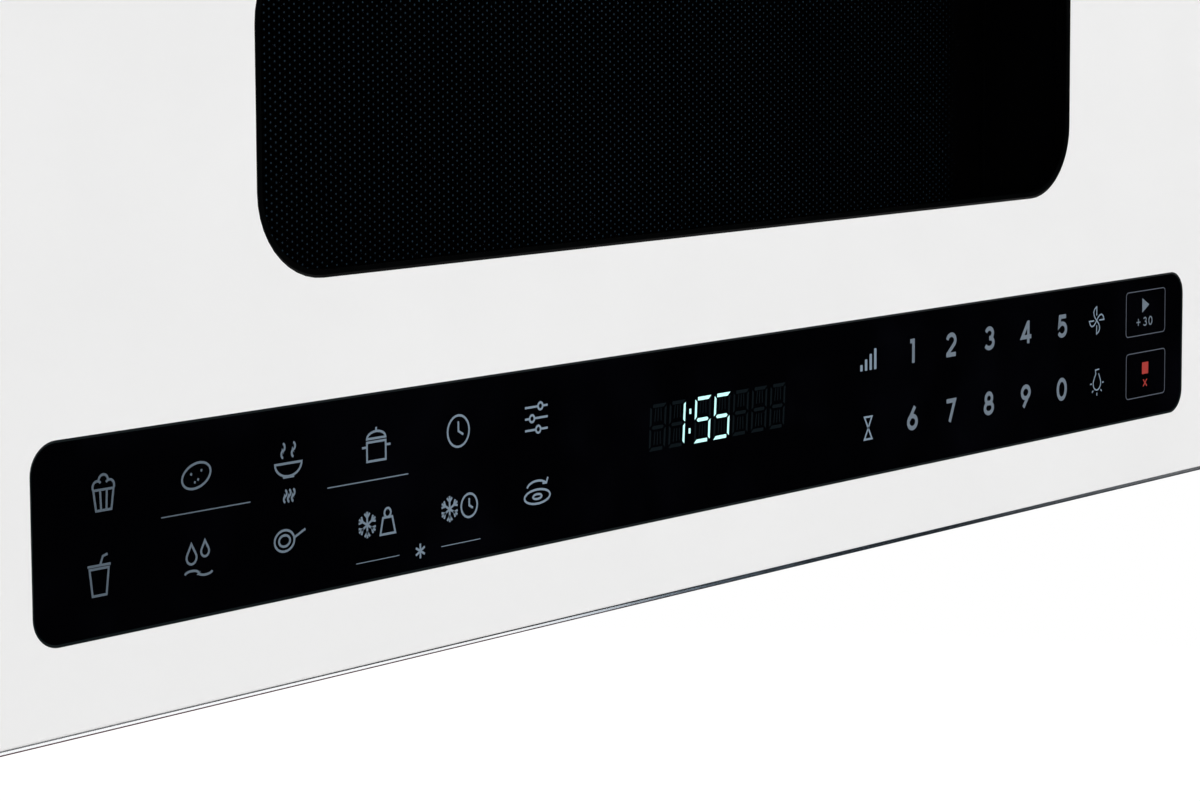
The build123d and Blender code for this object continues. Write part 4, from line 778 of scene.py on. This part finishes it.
# ================================================================ node trees for what repeats
class Tree(NodeTree):
    """A Geometry Nodes tree made in the script, with named inputs."""

    def __init__(self, name, inputs):
        """The inputs are given as text: a socket's type and its name, and a comma between two."""
        super().__init__(bpy.data.node_groups.new(name, "GeometryNodeTree"))
        face = self.tree.interface
        for item in ("Geometry Geometry, " + inputs + ", Material Material").split(", "):
            kind, label = item.split(" ", 1)
            face.new_socket(label, in_out="INPUT", socket_type="NodeSocket" + kind)
        face.new_socket("Geometry", in_out="OUTPUT", socket_type="NodeSocketGeometry")
        self.source = self.tree.nodes.new("NodeGroupInput").outputs

    def vector(self, x=0.0, y=0.0):
        """Vector in the XY plane."""
        return self.out("ShaderNodeCombineXYZ", {"X": x, "Y": y})

    def part(self):
        """Shape of the object that the tree repeats."""
        return self.add("GeometryNodeObjectInfo", {"Object": self.source["Piece"]}).outputs["Geometry"]

    def copies(self, points, part, **more):
        """The part on each of the points."""
        return self.out("GeometryNodeInstanceOnPoints", {"Points": points, "Instance": part, **more})

    def grid(self, column_step, row_step):
        """Grid of points in the XY plane, centred on the origin."""
        counts = {"X": self.source["Columns"], "Y": self.source["Rows"]}
        links = {"Vertices " + way: count for way, count in counts.items()}
        for (way, count), step in zip(counts.items(), (column_step, row_step)):
            links["Size " + way] = self.maths("MULTIPLY", self.maths("SUBTRACT", count, 1.0), step)
        return self.out("GeometryNodeMeshGrid", links)

    def swept(self, curve, section):
        """Closed tube of a section along a curve."""
        links = {"Curve": curve, "Profile Curve": section, "Fill Caps": True}
        return self.out("GeometryNodeCurveToMesh", links)

    def close(self, shape):
        """Ends the tree: shape put in its place, instances realised, material set."""
        links = {"Geometry": shape}
        for socket, name in (("Translation", "Place"), ("Rotation", "Turn")):
            if name in self.source:
                links[socket] = self.source[name]
        set_down = self.out("GeometryNodeTransform", links)
        real = self.out("GeometryNodeRealizeInstances", {"Geometry": set_down})
        links = {"Geometry": real, "Material": self.source["Material"]}
        self.add("NodeGroupOutput", {0: self.out("GeometryNodeSetMaterial", links)})
        return self

    def grow(self, name, body, slot_name, finish, values, seed=None):
        """Piece made by the tree, riding on a body; the small object that it repeats is taken away."""
        piece = new_object(name, seed or bpy.data.meshes.new(name + "_seed"))
        modifier = piece.modifiers.new("Build", "NODES")
        modifier.node_group = self.tree
        values = {**values, "Material": finish.material}
        for item in self.tree.interface.items_tree:
            if item.in_out == "INPUT" and item.name in values:
                modifier[item.identifier] = values[item.name]
        made = applied(piece)
        made.name = name
        if not made.polygons:
            raise RuntimeError(name + " came out empty")
        if "Piece" in values:
            bpy.data.objects.remove(values["Piece"])
        return settled(piece, body)


def perforated_tree():
    """Sheet skin of hexagonal tiles, each with a hole, in staggered columns."""
    tree = Tree("perforated_skin", "Int Columns, Int Rows, Float Pitch, Float Hole Radius, "
                                   "Vector Place, Vector Turn")
    pitch = tree.source["Pitch"]
    step = tree.maths("MULTIPLY", pitch, math.sqrt(3))
    tile = tree.out("GeometryNodeMeshCone", {
        "Vertices": 6, "Side Segments": 1, "Depth": 0.0, "Radius Top": tree.source["Hole Radius"],
        "Radius Bottom": tree.maths("DIVIDE", pitch, math.sqrt(3))}, fill_type="NONE")
    even = tree.grid(step, pitch)
    shift = tree.vector(tree.maths("DIVIDE", step, 2.0), tree.maths("DIVIDE", pitch, 2.0))
    odd = tree.out("GeometryNodeTransform", {"Geometry": even, "Translation": shift})
    both = tree.add("GeometryNodeJoinGeometry")
    for part in (even, odd):
        tree.put(part, both.inputs[0])
    sheet = tree.out("GeometryNodeRealizeInstances", {"Geometry": tree.copies(both.outputs[0], tile)})
    return tree.close(tree.out("GeometryNodeMergeByDistance", {"Geometry": sheet, "Distance": 0.01 * MM}))


def row_tree():
    """One small piece repeated over a grid."""
    tree = Tree("repeated_piece", "Object Piece, Int Columns, Int Rows, Float Column Step, Float Row Step, "
                                  "Vector Place, Vector Turn")
    points = tree.grid(tree.source["Column Step"], tree.source["Row Step"])
    return tree.close(tree.copies(points, tree.part()))


def point_tree():
    """One small piece on each point of the seed mesh, its Z turned to the point's facing."""
    tree = Tree("fasteners", "Object Piece")
    facing = tree.out("GeometryNodeInputNamedAttribute", {"Name": "facing"}, data_type="FLOAT_VECTOR")
    spin = tree.add("FunctionNodeRandomValue", {2: 0.0, 3: math.pi, "Seed": 4}, data_type="FLOAT").outputs[1]
    turn = tree.out("FunctionNodeAlignEulerToVector", {"Vector": facing}, axis="Z")
    own = tree.out("FunctionNodeRotateEuler", {"Rotation": turn, "Angle": spin},
                   rotation_type="AXIS_ANGLE", space="LOCAL")
    return tree.close(tree.copies(tree.source["Geometry"], tree.part(), Rotation=own))


def expanded_tree():
    """Expanded metal mesh: zigzag strands side by side, every second one shifted by a step."""
    tree = Tree("expanded_mesh", "Int Steps, Int Rows, Float Step, Float Rise, Float Strand, Vector Place")
    step, rise, width = (tree.source[name] for name in ("Step", "Rise", "Strand"))
    odd = tree.maths("MODULO", tree.out("GeometryNodeInputIndex"), 2.0)
    aside, up = tree.maths("MULTIPLY", odd, step), tree.maths("MULTIPLY", odd, rise)
    rows = []
    for count, apart, shift in (("Steps", tree.vector(step), tree.vector(0.0, up)),
                                ("Rows", tree.vector(0.0, rise), tree.vector(aside))):
        line = tree.out("GeometryNodeMeshLine", {"Count": tree.source[count], "Offset": apart})
        rows.append(tree.out("GeometryNodeSetPosition", {"Geometry": line, "Offset": shift}))
    zigzag = tree.out("GeometryNodeMeshToCurve", {0: rows[0]})
    thick = tree.maths("MULTIPLY", width, 0.5)
    section = tree.out("GeometryNodeCurvePrimitiveQuadrilateral", {0: width, 1: thick})
    return tree.close(tree.copies(rows[1], tree.swept(zigzag, section)))


def coil_tree():
    """Round wire wound into a coil along Z."""
    tree = Tree("wound_wire", "Float Turns, Float Radius, Float Height, Float Wire, Vector Place")
    put = tree.source
    spiral = tree.out("GeometryNodeCurveSpiral", {
        "Resolution": 16, "Rotations": put["Turns"], "Start Radius": put["Radius"],
        "End Radius": put["Radius"], "Height": put["Height"]})
    section = tree.out("GeometryNodeCurvePrimitiveCircle", {"Resolution": 8, "Radius": put["Wire"]})
    return tree.close(tree.swept(spiral, section))


def repeated(name, body, slot_name, finish, shape, counts, steps, place, turn=(0, 0, 0)):
    """A small shape repeated in columns and rows; steps and place are in millimetres, the turn in degrees."""
    row_tree().grow(name, body, slot_name, finish, {
        "Piece": template(name + "_unit", shape), "Columns": counts[0], "Rows": counts[1],
        "Column Step": steps[0] * MM, "Row Step": steps[1] * MM, "Place": Vector(place) * MM,
        "Turn": radians(turn)})


# ================================================================ pieces
FINISHES = {}
SCREEN_LEFT = -262.0               # first column of holes
SCREEN_BACK_END = 184.0            # the back skin, seen through the open door, goes on to here
SCREEN_LOW, SCREEN_HIGH = 130.5, 267.5                 # dotted field of the front skin
SCREEN_BACK_LOW, SCREEN_BACK_HIGH = 121.0, 277.0       # and of the back skin
MARGIN_LOW, MARGIN_HIGH = 120.0, 278.0                 # plain margin at the field's right
SKIN_LIFT = 0.03                   # skins of the screen off its core
MASK_LEFT = 186.0                  # black print behind the window's right end
WINDOW_BORDER = 2.8                # printed border of the window inside its ground edge
EDGE_DEPTH = 0.30                  # a ground edge's slope ends this far in front of its glass
BEAD_RISE = 1.1


def build_finishes(door, casing):
    """One material for each finish in the record, and the few nodes that have their own."""
    FINISHES.update({
        "white_enamel": painted("white_enamel", door.enamel, 0.40),
        "casing_paint": painted("casing_paint", casing.paint, 0.48, 420.0, 0.02),
        "zinc_steel": galvanised(),
        "cavity_enamel": speckled("cavity_enamel", tone(196, 198, 199)),
        "inner_frame_paint": painted("inner_frame_paint", tone(44, 45, 47), 0.45, 500.0, 0.02),
        "bright_trim": brushed("bright_trim", (0.72, 0.72, 0.73), 0.12, 0.22),
        "brushed_handle": brushed("brushed_handle", (0.58, 0.58, 0.59), 0.24, 0.36),
        "screw_steel": plain_metal("screw_steel", (0.50, 0.50, 0.51), 0.30),
        "black_glass": black_glass("black_glass", door.glass),
        "clear_pane": clear("clear_pane", (0.55, 0.58, 0.60), 0.16),
        "tray_glass": clear("tray_glass", (0.62, 0.74, 0.70), 0.34, 0.05, 0.8),
        "black_plastic": moulded("black_plastic", tone(38, 39, 41)),
        "white_plastic": moulded("white_plastic", tone(226, 226, 222), 0.40),
        "circuit_board": board_green("circuit_board", (0.012, 0.085, 0.035)),
        "lamp_board": board_green("lamp_board", (0.62, 0.62, 0.58)),
        "filter_aluminium": brushed("filter_aluminium", (0.62, 0.63, 0.64), 0.30, 0.45),
        "filter_charcoal": charcoal(),
        "motor_steel": plain_metal("motor_steel", (0.34, 0.34, 0.35), 0.42),
        "mica": speckled("mica", tone(196, 186, 160), 0.55),
    })
    own = {"window_glass": window_tint(),
           "window_screen": screen_core(door.glow, door.hole_end),
           "hv_transformer": laminated()}
    for part in frame["record"]["subparts"]:
        node = part["node"]
        finish = own.get(node) or FINISHES[part["material_slot"]]
        for holder in frame["nodes"][node].material_slots:
            holder.material = finish.material


def build_screen(options):
    """Perforated skins of the window screen with their plain margin, and the print behind the window."""
    tree = perforated_tree()
    black = painted("screen_black", (0.0003, 0.0003, 0.0004), 0.6, 900.0, 0.01)
    black.shade("Specular IOR Level", 0.0)
    low, high = box_mm("window_screen")
    front, back = low.y - SKIN_LIFT, high.y + SKIN_LIFT
    end, pitch = options.hole_end / MM, options.hole_pitch / MM
    sides = {"screen_front": (end, SCREEN_LOW, SCREEN_HIGH, front, 0),
             "screen_back": (SCREEN_BACK_END, SCREEN_BACK_LOW, SCREEN_BACK_HIGH, back, 180)}
    for name, (right, bottom, top, y, about) in sides.items():
        tree.grow(name, "door", "inner_frame_paint", black, {
            "Columns": round((right - SCREEN_LEFT) / (pitch * math.sqrt(3))),
            "Rows": round((top - bottom) / pitch), "Pitch": options.hole_pitch, "Hole Radius": options.hole_r,
            "Place": Vector(((SCREEN_LEFT + right) / 2, y, (bottom + top) / 2)) * MM,
            "Turn": radians((90, 0, about))})
    margin = bmesh.new()
    for x, z in bar(end, MARGIN_LOW, high.x - 0.2, MARGIN_HIGH):
        margin.verts.new(Vector((x, front, z)) * MM)
    margin.faces.new(margin.verts)
    finished("screen_margin", margin, black)
    low, high = box_mm("window_glass")
    mask = Print(high.y + 0.05, high.y + 0.01, (0.0, 0.0))
    mask.wall(bar(MASK_LEFT, low.z, high.x, high.z))
    mask.done("window_mask", printed("mask_ink", DEEP_BLACK, 0.0))


def build_glass_edges(options):
    """Ground edges that fill the seam beside each glass; the window's also has a printed border."""
    rise, under = options.edge_w / MM, GLASS_FACE - 0.02
    wedge = [(rise, under), (EDGE_GAP, GLASS_FACE - EDGE_DEPTH), (EDGE_GAP, GLASS_FACE)]
    shapes = {"window_edge": ("window_glass", WINDOW_R, (0.0004, 0.0006, 0.0007),
                              [(WINDOW_BORDER, GLASS_FACE), (WINDOW_BORDER, under)] + wedge),
              "strip_edge": ("control_glass", STRIP_R, (0.0042, 0.0075, 0.0080),
                             [(rise, GLASS_FACE)] + wedge)}
    for name, (node, r, colour, profile) in shapes.items():
        edge = Finish(name, colour, 0.3, specular=0.03)
        edge.mottle(edge.noise(40.0), 0.3)
        edge.polish(edge.noise(70.0), 0.25, 0.35)
        low, high = box_mm(node)
        rings = []
        for inset, y in profile:
            gap = STRIP_LAND + inset
            outline = rounded(low.x + gap, low.z + gap, high.x - gap, high.z - gap, r - inset, 12)
            rings.append([(x, y, z) for x, z in outline])
        finished(name, skin(rings, looped=True), edge)


def build_trim(options):
    """Polished trim under the door: a strip with a sloping top edge over a darker lower lip. The strip
    carries a painted blue reflection right of the middle and is made less metallic at both ends to paint them
    lighter; the lip's colour is a painted reflection, brownish on the left and dark navy on the right.
    """
    low, high = box_mm("door_trim")
    lip, shoulder = 0.50, 0.50             # heights of the dark lip and of the sloping top edge
    lean, slope = radians((1.5, 10))       # of the face and of the top edge
    bright, blue = tuple(options.trim), (0.55, 0.70, 0.85)
    chrome = Finish("polished_trim", bright, 0.07, metal=0.965)
    along = chrome.axis("X")
    # painted reflection: a blue tint that comes in at the middle and fades towards the right end
    reflection_tint = chrome.maths("MULTIPLY", chrome.ramp(along, -0.12, 0.0), chrome.ramp(along, 0.12, 0.36, 1.0, 0.1))
    chrome.paint(reflection_tint, bright, blue)
    chrome.polish(chrome.noise(60.0), 0.06, 0.10)
    # painted light: both ends are made less metallic so that the lamps light them paler
    left_painted_light = chrome.ramp(along, -0.36, -0.13, 0.78, 1.0)
    right_painted_light = chrome.ramp(along, 0.16, 0.33, 0.965, 0.84)
    chrome.shade("Metallic", chrome.maths("MULTIPLY", left_painted_light, right_painted_light))
    # painted reflection: the lip's colour goes from brownish on the left to dark navy on the right
    dark = plain_metal("trim_lip", (0.09, 0.055, 0.058), 0.4)
    dark.paint(dark.ramp(dark.axis("X"), -0.15, 0.02), (0.13, 0.058, 0.070), (0.022, 0.034, 0.050))
    foot, top, front = low.z + lip, high.z, low.y
    crest = top - shoulder
    crown = [(front + (crest - foot) * math.tan(lean), foot), (front, crest),
             (front + shoulder * math.tan(slope), top), (high.y, top), (high.y, foot)]
    for name, finish, profile in (("trim_crown", chrome, crown),
                                  ("trim_lip", dark, bar(front + 0.2, low.z, high.y, foot))):
        shape = skin([[(x, y, z) for y, z in profile] for x in (low.x, high.x)])
        piece = finished(name, shape, finish)
        if name == "trim_crown":
            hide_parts("door_trim")


def screw_template(radius, height):
    """Pan head with a cross recess, its seat at z = 0, and a short shank."""
    head = lathe([(0, -6.0), (1.9, -6.0), (1.9, 0.0), (radius, 0.0), (radius, height * 0.35),
                  (radius * 0.86, height * 0.72), (radius * 0.55, height * 0.95), (0, height)], 20)
    cutter = bmesh.new()
    for turn in (0, 90):
        arm = bmesh.ops.create_cube(cutter, size=1.0)["verts"]
        bmesh.ops.scale(cutter, vec=(radius * 1.1 * MM, 0.9 * MM, 2.0 * MM), verts=arm)
        crossed = Matrix.Rotation(math.radians(turn), 3, "Z")
        bmesh.ops.rotate(cutter, cent=(0, 0, 0), matrix=crossed, verts=arm)
        bmesh.ops.translate(cutter, vec=(0, 0, (height + 0.1) * MM), verts=arm)
    body, tool = template("screw_head", head), template("screw_recess", cutter)
    for scaled in (body, tool):            # the cut is made a thousand times larger, where it is exact
        scaled.data.transform(Matrix.Scale(1 / MM, 4))
    boolean = body.modifiers.new("Recess", "BOOLEAN")
    boolean.object, boolean.operation, boolean.solver = tool, "DIFFERENCE", "EXACT"
    boolean.use_self = True
    applied(body).transform(Matrix.Scale(MM, 4))
    bpy.data.objects.remove(tool)
    return body


def build_screws(options):
    """Casing screws with a cross recess, in place of the plain ones."""
    low, high = box_mm("outer_wrap")
    side, end = 13.0, 30.0                 # of a screw in the top from the casing's side and ends
    back_heights = (236.0, 397.0)
    places = []
    for x in (side - high.x, high.x - side):
        places += [((x, y, high.z), (0, 0, 1)) for y in (low.y + end, high.y - end)]
        places += [((x, high.y, z), (0, 1, 0)) for z in back_heights]
    seats = bpy.data.meshes.new("screw_seats")
    seats.from_pydata([Vector(place) * MM for place, facing in places], [], [])
    facings = seats.attributes.new("facing", "FLOAT_VECTOR", "POINT")
    for holder, (place, facing) in zip(facings.data, places):
        holder.vector = facing
    screws = point_tree().grow("casing_screws", "chassis", "zinc_steel", FINISHES["screw_steel"],
                               {"Piece": screw_template(options.screw_r / MM, 2.0)}, seats)
    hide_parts("chassis_screws")


def bead(length, width, turn=0):
    """Pressed stiffening bead with its underside at z = 0, lying along X or turned from it."""
    half = (length - width) / 2
    rings = []
    for share, z in ((0.5, 0.0), (0.5, 0.02), (0.36, BEAD_RISE * 0.75), (0.2, BEAD_RISE)):
        r = width * share
        ring = arc(half, 0, r, r, -90, 90, 8) + arc(-half, 0, r, r, 90, 270, 8)
        rings.append([(x, y, z) for x, y in turned(ring, turn)])
    return skin(rings)


def build_beads(options):
    """Stiffening beads pressed into the casing's top and back."""
    top, back = box_mm("outer_wrap")[1].z, box_mm("back_plate")[1].y
    width = options.bead_w / MM
    repeated("top_beads", "chassis", "casing_paint", FINISHES["casing_paint"],
             bead(470.0, width), (1, 3), (0, 46), (0, 10, top))
    repeated("back_beads", "chassis", "zinc_steel", FINISHES["zinc_steel"],
             bead(150.0, width, 90), (5, 1), (128, 0), (0, back, 312), (90, 0, 180))


def build_filter_mesh(options):
    """Expanded aluminium mesh on both sides of each grease filter."""
    tree = expanded_tree()
    rim = 8.6                              # plain rim of the filter's frame
    step, rise = options.mesh_step, options.mesh_step * 0.52
    for side in ("left", "right"):
        low, high = box_mm("grease_filter_" + side)
        width, depth = high.x - low.x - 2 * rim, high.y - low.y - 2 * rim
        for face, z in (("under", 4.15), ("over", 7.85)):
            tree.grow(f"grease_mesh_{side}_{face}", "filter_" + side, "filter_aluminium",
                      FINISHES["filter_aluminium"], {
                          "Steps": int(width * MM / step), "Rows": int(depth * MM / rise) - 1, "Step": step,
                          "Rise": rise, "Strand": options.strand,
                          "Place": Vector((low.x + rim, low.y + rim + 1.0, z)) * MM})


def build_cavity_vents(options):
    """Rows of small air holes in the cavity's right wall, each drawn as a thin dark disc whose colour is the
    painted shade inside the hole.
    """
    # painted shade: a dark disc stands for the shade inside each hole
    dark = moulded("vent_dark", (0.006, 0.006, 0.007), 0.7)
    hole = lathe([(0, 0.0), (1.7, 0.0), (1.7, 0.06), (0, 0.06)], 10)
    wall = box_mm("cavity_wrap")[1].x - 1.06
    repeated("cavity_vents", "chassis", "cavity_enamel", dark, hole,
             (options.vent_columns, options.vent_rows), (6, 6), (wall, 150.0, 262.0), (90, 0, -90))


def build_lamp_lens():
    """Prism ribs on the inside of the cooktop lamp cover."""
    length, half, tall = 33.0, 1.0, 0.7
    section = ((-half, 0), (half, 0), (0, tall))
    rib = skin([[(x, y, z) for x, z in section] for y in (-length / 2, length / 2)])
    middle = box_mm("lamp_cover")[0].y + length / 2 + 1.0
    repeated("lamp_lens_ribs", "lamp_lid", "clear_pane", FINISHES["clear_pane"], rib,
             (90, 1), (2.15, 0), (0, middle, 2.8))


def build_spring():
    """Coiled latch spring in place of its envelope."""
    low, high = box_mm("latch_spring")
    wire, travel = 0.5, 6.0
    middle, length = (low + high) / 2, high.z - low.z
    piece = coil_tree().grow("latch_coil", "door", "zinc_steel", FINISHES["screw_steel"], {
        "Turns": 8.0, "Radius": ((high.x - low.x) / 2 - wire) * MM, "Height": (length - 2 * wire) * MM,
        "Wire": wire * MM, "Place": Vector((middle.x, middle.y, low.z + wire)) * MM})
    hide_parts("latch_spring")
    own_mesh(piece)


# ================================================================ studio
CAMERA_PLACE = (-1.01092, -0.96936, 0.25320)
CAMERA_TURN = (84.3333, 0.2819, -49.6647)      # degrees
CAMERA_LENS = 100.665
CAMERA_SHIFT = -0.10557
FLAG_WAY = (0.777, -0.613, -0.143)             # where the dark card stands that the black glass mirrors
CARD_EDGE = (0.66, 0.90)                       # cosines to that way between which the card fades
FLOOR_FADE = (0.9, 1.7)                        # metres from the middle over which the floor turns white
FLOOR_WHITE = 1.09                             # level of the white that the camera sees
LAMP_TARGET = Vector((0.0, 0.0, 0.2))
LAMPS = {"key": ((-0.3, -2.6, 1.5), 2.2, 1.8), "fill": ((2.3, -1.5, 1.4), 1.6, 1.6),
         "back": ((0.4, 2.2, 2.0), 2.4, 1.6)}  # place, width and height of each


def build_camera():
    """The photograph's camera."""
    data = bpy.data.cameras.new("camera")
    data.lens, data.sensor_width, data.shift_y = CAMERA_LENS, 36.0, CAMERA_SHIFT
    data.clip_start, data.clip_end = 0.05, 60.0
    camera = new_object("camera", data)
    camera.location, camera.rotation_euler = CAMERA_PLACE, radians(CAMERA_TURN)
    bpy.context.scene.camera = camera


def build_lamps(options):
    """Three large lamps, turned to the object."""
    for name, (place, width, height) in LAMPS.items():
        data = bpy.data.lights.new(name + "_lamp", "AREA")
        data.energy, data.shape, data.size, data.size_y = getattr(options, name), "RECTANGLE", width, height
        lamp = new_object(name + "_lamp", data)
        lamp.location = place
        lamp.rotation_euler = (LAMP_TARGET - Vector(place)).to_track_quat("-Z", "Y").to_euler()


def build_world(ambient):
    """White background with a dark card for the glass to mirror, and plain light from all round."""
    world = bpy.data.worlds.new("studio")
    world.use_nodes = True
    sky = NodeTree(world.node_tree)
    rays = sky.add("ShaderNodeLightPath").outputs
    camera, glossy = rays["Is Camera Ray"], rays["Is Glossy Ray"]
    seen = sky.maths("MAXIMUM", camera, sky.maths("MAXIMUM", glossy, rays["Is Transmission Ray"]))
    way = sky.add("ShaderNodeTexCoord").outputs["Generated"]
    toward = sky.add("ShaderNodeVectorMath", {0: way, 1: FLAG_WAY}, operation="DOT_PRODUCT").outputs["Value"]
    card = sky.ramp(toward, *CARD_EDGE, 1.0, 0.0, smooth=True)
    open_sky = sky.maths("MAXIMUM", card, sky.maths("SUBTRACT", 1.0, glossy))
    level = sky.ramp(seen, 0.0, 1.0, ambient, 1.0)
    background = world.node_tree.nodes["Background"].inputs
    background["Color"].default_value = (1, 1, 1, 1)
    sky.put(sky.maths("MULTIPLY", level, open_sky), background["Strength"])
    bpy.context.scene.world = world


def build_floor(height):
    """Pale floor that keeps the object's shadow under a white that the camera sees."""
    mesh = bpy.data.meshes.new("floor")
    mesh.from_pydata([(x, y, height) for x, y in oval(0, 0, 2, 2, 64)], [], [tuple(range(64))])
    floor = Finish("pale_floor", (0.86, 0.86, 0.86), 0.9, specular=0.1)
    rays = floor.add("ShaderNodeLightPath").outputs
    camera, glossy = rays["Is Camera Ray"], rays["Is Glossy Ray"]
    distance = floor.add("ShaderNodeVectorMath", {0: floor.place}, operation="LENGTH").outputs["Value"]
    spread = floor.ramp(distance, *FLOOR_FADE, 0.7, 1.0, smooth=True)
    seen = floor.maths("MULTIPLY", floor.maths("MAXIMUM", camera, glossy), spread)
    glow = floor.out("ShaderNodeEmission", {"Strength": FLOOR_WHITE})
    lit = floor.out("ShaderNodeMixShader", {0: seen, 1: floor.shader.outputs[0], 2: glow})
    behind = floor.add("ShaderNodeNewGeometry").outputs["Backfacing"]
    from_below = floor.maths("MULTIPLY", behind, camera)
    unseen = floor.out("ShaderNodeBsdfTransparent")
    whole = floor.out("ShaderNodeMixShader", {0: from_below, 1: lit, 2: unseen})
    floor.put(whole, floor.tree.nodes["Material Output"].inputs["Surface"])
    mesh.materials.append(floor.material)
    new_object("floor", mesh)


# ================================================================ operators
DONE = {"FINISHED"}


class MICROWAVE_OT_studio(bpy.types.Operator):
    """Make the camera, lamps, background and floor"""
    bl_idname = "microwave.studio"
    bl_label = "Studio"

    def execute(self, context):
        options = context.scene.microwave_studio
        context.scene.view_settings.view_transform = "Standard"
        build_camera()
        build_world(options.ambient)
        build_floor(options.floor_z)
        build_lamps(options)
        return DONE


class MICROWAVE_OT_finishes(bpy.types.Operator):
    """Give every CAD node its material"""
    bl_idname = "microwave.finishes"
    bl_label = "Finishes"

    def execute(self, context):
        build_finishes(context.scene.microwave_door, context.scene.microwave_casing)
        return DONE


class MICROWAVE_OT_screen(bpy.types.Operator):
    """Perforate the window screen and print the window's right end"""
    bl_idname = "microwave.screen"
    bl_label = "Window screen"

    def execute(self, context):
        build_screen(context.scene.microwave_door)
        return DONE


class MICROWAVE_OT_glass_edges(bpy.types.Operator):
    """Add the ground edges of the two front glasses"""
    bl_idname = "microwave.glass_edges"
    bl_label = "Glass edges"

    def execute(self, context):
        build_glass_edges(context.scene.microwave_door)
        return DONE


class MICROWAVE_OT_trim(bpy.types.Operator):
    """Shape the polished trim under the door"""
    bl_idname = "microwave.trim"
    bl_label = "Lower trim"

    def execute(self, context):
        build_trim(context.scene.microwave_door)
        return DONE


class MICROWAVE_OT_legends(bpy.types.Operator):
    """Print the key numbers, pictograms, boxes and dividers"""
    bl_idname = "microwave.legends"
    bl_label = "Key legends"

    def execute(self, context):
        build_legends(context.scene.microwave_print)
        return DONE


class MICROWAVE_OT_display(bpy.types.Operator):
    """Make the display's lit and unlit segments"""
    bl_idname = "microwave.display"
    bl_label = "Display"

    def execute(self, context):
        build_display(context.scene.microwave_print)
        return DONE


class MICROWAVE_OT_screws(bpy.types.Operator):
    """Drive the casing screws"""
    bl_idname = "microwave.screws"
    bl_label = "Casing screws"

    def execute(self, context):
        build_screws(context.scene.microwave_casing)
        return DONE


class MICROWAVE_OT_beads(bpy.types.Operator):
    """Press the stiffening beads into the top and back"""
    bl_idname = "microwave.beads"
    bl_label = "Stiffening beads"

    def execute(self, context):
        build_beads(context.scene.microwave_casing)
        return DONE


class MICROWAVE_OT_filter_mesh(bpy.types.Operator):
    """Lay the expanded mesh on the grease filters"""
    bl_idname = "microwave.filter_mesh"
    bl_label = "Filter mesh"

    def execute(self, context):
        build_filter_mesh(context.scene.microwave_casing)
        return DONE


class MICROWAVE_OT_cavity(bpy.types.Operator):
    """Paint the shade in the cavity's air vents as rows of dark discs"""
    bl_idname = "microwave.cavity"
    bl_label = "Cavity vents"

    def execute(self, context):
        build_cavity_vents(context.scene.microwave_casing)
        return DONE


class MICROWAVE_OT_lamp_lens(bpy.types.Operator):
    """Rib the cooktop lamp cover"""
    bl_idname = "microwave.lamp_lens"
    bl_label = "Lamp lens"

    def execute(self, context):
        build_lamp_lens()
        return DONE


class MICROWAVE_OT_spring(bpy.types.Operator):
    """Wind the latch spring"""
    bl_idname = "microwave.spring"
    bl_label = "Latch spring"

    def execute(self, context):
        build_spring()
        return DONE


STEPS = (MICROWAVE_OT_studio, MICROWAVE_OT_finishes, MICROWAVE_OT_screen, MICROWAVE_OT_glass_edges,
         MICROWAVE_OT_trim, MICROWAVE_OT_legends, MICROWAVE_OT_display, MICROWAVE_OT_screws,
         MICROWAVE_OT_beads, MICROWAVE_OT_filter_mesh, MICROWAVE_OT_cavity, MICROWAVE_OT_lamp_lens,
         MICROWAVE_OT_spring)
GROUPS = {"microwave_door": DoorSettings, "microwave_print": PrintSettings,
          "microwave_casing": CasingSettings, "microwave_studio": StudioSettings}


class MICROWAVE_PT_panel(bpy.types.Panel):
    """Sidebar panel that lists the steps and their settings"""
    bl_idname = "MICROWAVE_PT_panel"
    bl_label = "Microwave"
    bl_space_type = "VIEW_3D"
    bl_region_type = "UI"
    bl_category = "Microwave"

    def draw(self, context):
        for step in STEPS:
            self.layout.operator(step.bl_idname)
        for name in GROUPS:
            column = self.layout.column()
            group = getattr(context.scene, name)
            for key in group.bl_rna.properties.keys():
                if key not in ("rna_type", "name"):
                    column.prop(group, key)


CLASSES = (*GROUPS.values(), *STEPS, MICROWAVE_PT_panel)


def register():
    for each in CLASSES:
        bpy.utils.register_class(each)
    for name, group in GROUPS.items():
        setattr(bpy.types.Scene, name, PointerProperty(type=group))


def unregister():
    for name in GROUPS:
        delattr(bpy.types.Scene, name)
    for each in reversed(CLASSES):
        bpy.utils.unregister_class(each)


def main():
    register()
    for step in STEPS:
        group, name = step.bl_idname.split(".")
        getattr(getattr(bpy.ops, group), name)()


if __name__ == "__main__":
    main()
